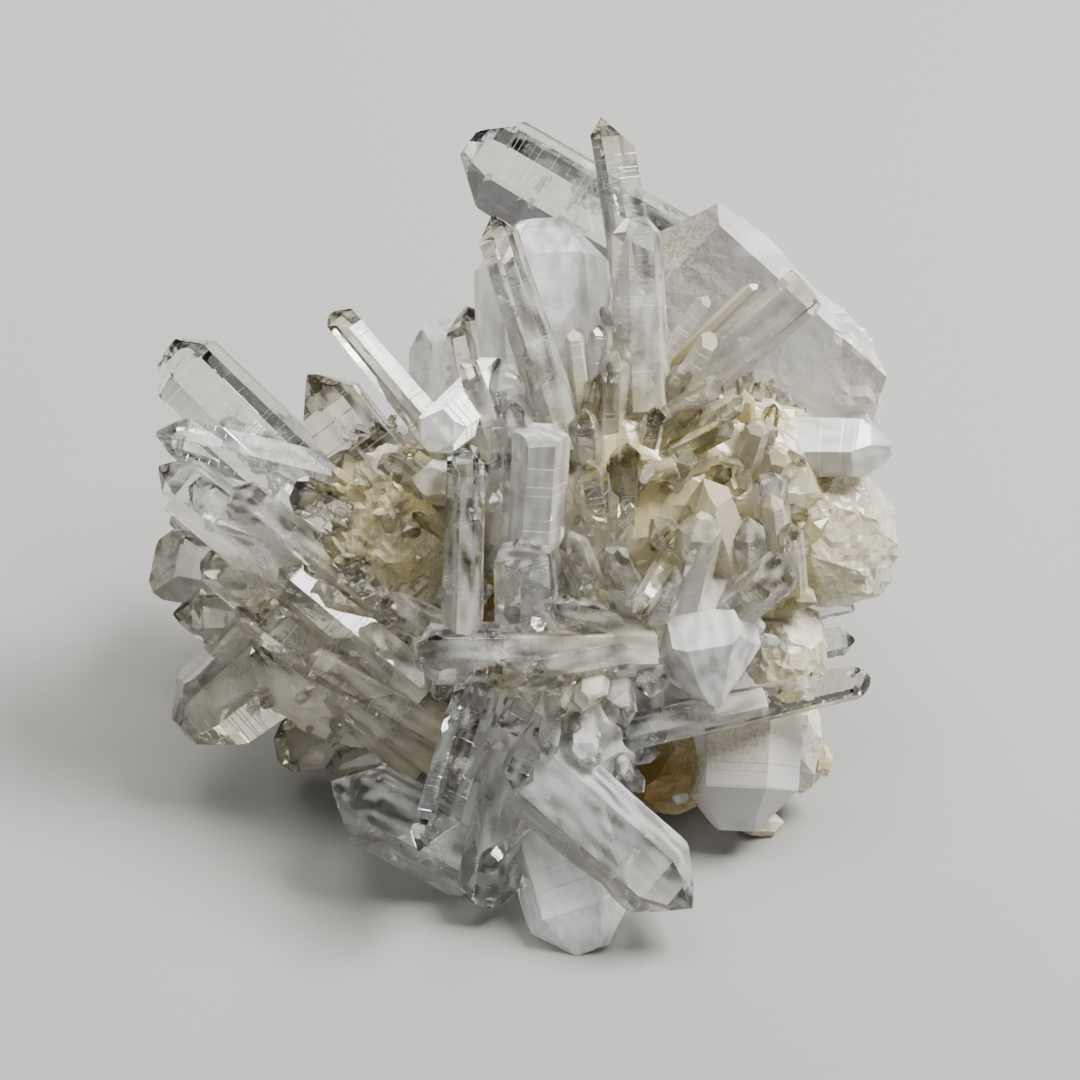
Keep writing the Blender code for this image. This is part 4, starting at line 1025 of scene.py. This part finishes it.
def soft_light(name, place, size, power, aim=(0.0, 0.0, 0.03)):
    """A square soft box aimed at the cluster."""
    lamp = bpy.data.lights.new(name, "AREA")
    lamp.size = size
    lamp.energy = power
    lamp.cycles.max_bounces = LIGHT_BOUNCES
    obj = bpy.data.objects.new(name, lamp)
    obj.location = place
    obj.rotation_euler = (Vector(aim) - Vector(place)).to_track_quat("-Z", "Y").to_euler()
    bpy.context.scene.collection.objects.link(obj)


class ClusterSizes(bpy.types.PropertyGroup):
    """Sizes of the fine relief."""

    edge_wear: FloatProperty(
        name="Edge wear",
        description="Width of the worn edge between two crystal faces",
        default=0.1 * MM,
        subtype="DISTANCE",
        unit="LENGTH",
    )
    ledge_gap: FloatProperty(
        name="Ledge gap",
        description="Usual distance between growth ledges on a crystal 6 mm across",
        default=1.3 * MM,
        subtype="DISTANCE",
        unit="LENGTH",
    )
    ledge_depth: FloatProperty(
        name="Ledge depth",
        description="How far a growth ledge steps in",
        default=0.05 * MM,
        subtype="DISTANCE",
        unit="LENGTH",
    )
    chip_depth: FloatProperty(
        name="Chip depth",
        description="Deepest chip on a corner near a tip",
        default=0.35 * MM,
        subtype="DISTANCE",
        unit="LENGTH",
    )
    break_depth: FloatProperty(
        name="Break depth",
        description="Relief of the broken milky base",
        default=1.1 * MM,
        subtype="DISTANCE",
        unit="LENGTH",
    )
    break_grain: FloatProperty(
        name="Break grain",
        description="Size of the bumps on the broken base",
        default=1.8 * MM,
        subtype="DISTANCE",
        unit="LENGTH",
    )
    small_points: IntProperty(
        name="Small points",
        description="How many small points crowd the hollows",
        default=500,
        min=0,
    )
    small_point_width: FloatProperty(
        name="Small point width",
        description="Width of the usual small point",
        default=1.8 * MM,
        subtype="DISTANCE",
        unit="LENGTH",
    )
    veil_gap: FloatProperty(
        name="Crack gap",
        description="Usual distance between healed cracks along a crystal",
        default=4.0 * MM,
        subtype="DISTANCE",
        unit="LENGTH",
    )
    break_grid: FloatProperty(
        name="Break grid",
        description="Distance between the scored lines that the relief of the base is pushed from",
        default=1.3 * MM,
        subtype="DISTANCE",
        unit="LENGTH",
    )
    slab_grid: FloatProperty(
        name="Slab grid",
        description="Distance between the scored lines on the milky slab",
        default=1.1 * MM,
        subtype="DISTANCE",
        unit="LENGTH",
    )


def colour_choice(name, description, hex_colour):
    """A colour that a user can change."""
    return FloatVectorProperty(
        name=name,
        description=description,
        default=linear(hex_colour),
        min=0.0,
        max=1.0,
        size=3,
        subtype="COLOR",
    )


class ClusterColours(bpy.types.PropertyGroup):
    """Colours of the quartz and the card it stands on."""

    clear: colour_choice("Clear", "Tint of the clear quartz", "#F9F9F7")
    milky: colour_choice("Milky", "The milky quartz of slab and roots", "#EEEDEE")
    cream: colour_choice("Cream", "Haze in the roots and some tips", "#D2C694")
    stain: colour_choice("Stain", "Brown dust on some points", "#A08C50")
    rust: colour_choice("Rust", "Iron stain in the hollows", "#7C5618")
    floor: colour_choice("Floor", "The pale card", "#94938F")


def settle(piece):
    """Hand a finished piece to the frame."""
    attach(piece, "root")


def picked_colours():
    """The chosen colours by name, as plain tuples."""
    group = bpy.context.scene.quartz_colours
    return {name: tuple(getattr(group, name)) for name in ("clear", "milky", "cream", "stain", "rust", "floor")}


class QUARTZ_OT_cluster(bpy.types.Operator):
    """Grow the crystals, the slab and the rough base, and join them into one piece"""

    bl_idname = "quartz.cluster"
    bl_label = "Cluster"

    def execute(self, context):
        sizes = context.scene.quartz_sizes
        clear_quartz(picked_colours())
        milky_quartz(picked_colours())
        pieces = [cut_slab("slab", sizes)]
        for number, lump in enumerate(LUMPS):
            pieces.append(strike_lump(f"lump_{number}", lump, sizes))
        seed = 0
        for group in ALL_CRYSTALS:
            for crystal in group:
                seed += 1
                pieces.append(cut_crystal(f"crystal_{seed}", crystal, seed, sizes))
        floor_block = block_on_origin(0.2, 0.02)
        floor_block.location.z = -0.04
        cluster = grow_together("cluster", pieces, floor_block)
        spread_stains(cluster)
        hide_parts(NODE)
        settle(cluster)
        return {"FINISHED"}


class QUARTZ_OT_small_points(bpy.types.Operator):
    """Crowd small points in the hollows between the large crystals"""

    bl_idname = "quartz.small_points"
    bl_label = "Small points"

    def execute(self, context):
        settle(scatter_points(bpy.data.objects["cluster"], context.scene.quartz_sizes))
        return {"FINISHED"}


class QUARTZ_OT_cracks(bpy.types.Operator):
    """Hang the healed cracks inside the clear crystals"""

    bl_idname = "quartz.cracks"
    bl_label = "Healed cracks"

    def execute(self, context):
        cracks = hang_veils(context.scene.quartz_sizes)
        wear_material(cracks, crack_film())
        settle(cracks)
        return {"FINISHED"}


class QUARTZ_OT_stage(bpy.types.Operator):
    """Lay the pale card and set the soft lights and the camera"""

    bl_idname = "quartz.stage"
    bl_label = "Studio"

    def execute(self, context):
        bpy.ops.mesh.primitive_plane_add(size=3.0, location=(0.0, 0.0, -0.05 * MM))
        floor = context.object
        floor.name = "card"
        wear_material(floor, pale_card(picked_colours()))
        soft_light("key", (0.42, 0.10, 0.62), 0.34, 16.6)
        soft_light("top", (-0.15, 0.2, 0.9), 0.55, 6.0)
        soft_light("rim", (-0.30, 0.62, 0.30), 0.35, 4.4)
        world = bpy.data.worlds.new("studio")
        world.use_nodes = True
        world.node_tree.nodes["Background"].inputs["Color"].default_value = (0.18, 0.18, 0.18, 1.0)
        context.scene.world = world
        aim = lean_point(0.0, 0.0, 0.0)
        lens = bpy.data.cameras.new("photographer")
        lens.sensor_width = 36.0
        lens.lens = 36.0 * EYE_DISTANCE / FRAME_WIDTH
        lens.clip_start = 0.01
        camera = bpy.data.objects.new("photographer", lens)
        camera.location = aim + lean_direction(0.0, 0.0, 1.0) * EYE_DISTANCE * MM
        camera.rotation_euler = (aim - camera.location).to_track_quat("-Z", "Y").to_euler()
        context.scene.collection.objects.link(camera)
        context.scene.camera = camera
        return {"FINISHED"}


class QUARTZ_PT_panel(bpy.types.Panel):
    """The pieces of the cluster, each with its own button"""

    bl_idname = "QUARTZ_PT_panel"
    bl_label = "Quartz cluster"
    bl_space_type = "VIEW_3D"
    bl_region_type = "UI"
    bl_category = "Quartz"

    def draw(self, context):
        for group in (context.scene.quartz_sizes, context.scene.quartz_colours):
            for name in group.bl_rna.properties.keys():
                if name not in ("rna_type", "name"):
                    self.layout.prop(group, name)
        for operator in OPERATORS:
            self.layout.operator(operator.bl_idname)


OPERATORS = (QUARTZ_OT_cluster, QUARTZ_OT_small_points, QUARTZ_OT_cracks, QUARTZ_OT_stage)
CLASSES = (ClusterSizes, ClusterColours, *OPERATORS, QUARTZ_PT_panel)


def register():
    for cls in CLASSES:
        bpy.utils.register_class(cls)
    bpy.types.Scene.quartz_sizes = PointerProperty(type=ClusterSizes)
    bpy.types.Scene.quartz_colours = PointerProperty(type=ClusterColours)


def unregister():
    del bpy.types.Scene.quartz_colours
    del bpy.types.Scene.quartz_sizes
    for cls in reversed(CLASSES):
        bpy.utils.unregister_class(cls)


def main():
    register()
    bpy.ops.quartz.cluster()
    bpy.ops.quartz.small_points()
    bpy.ops.quartz.cracks()
    bpy.ops.quartz.stage()


if __name__ == "__main__":
    main()
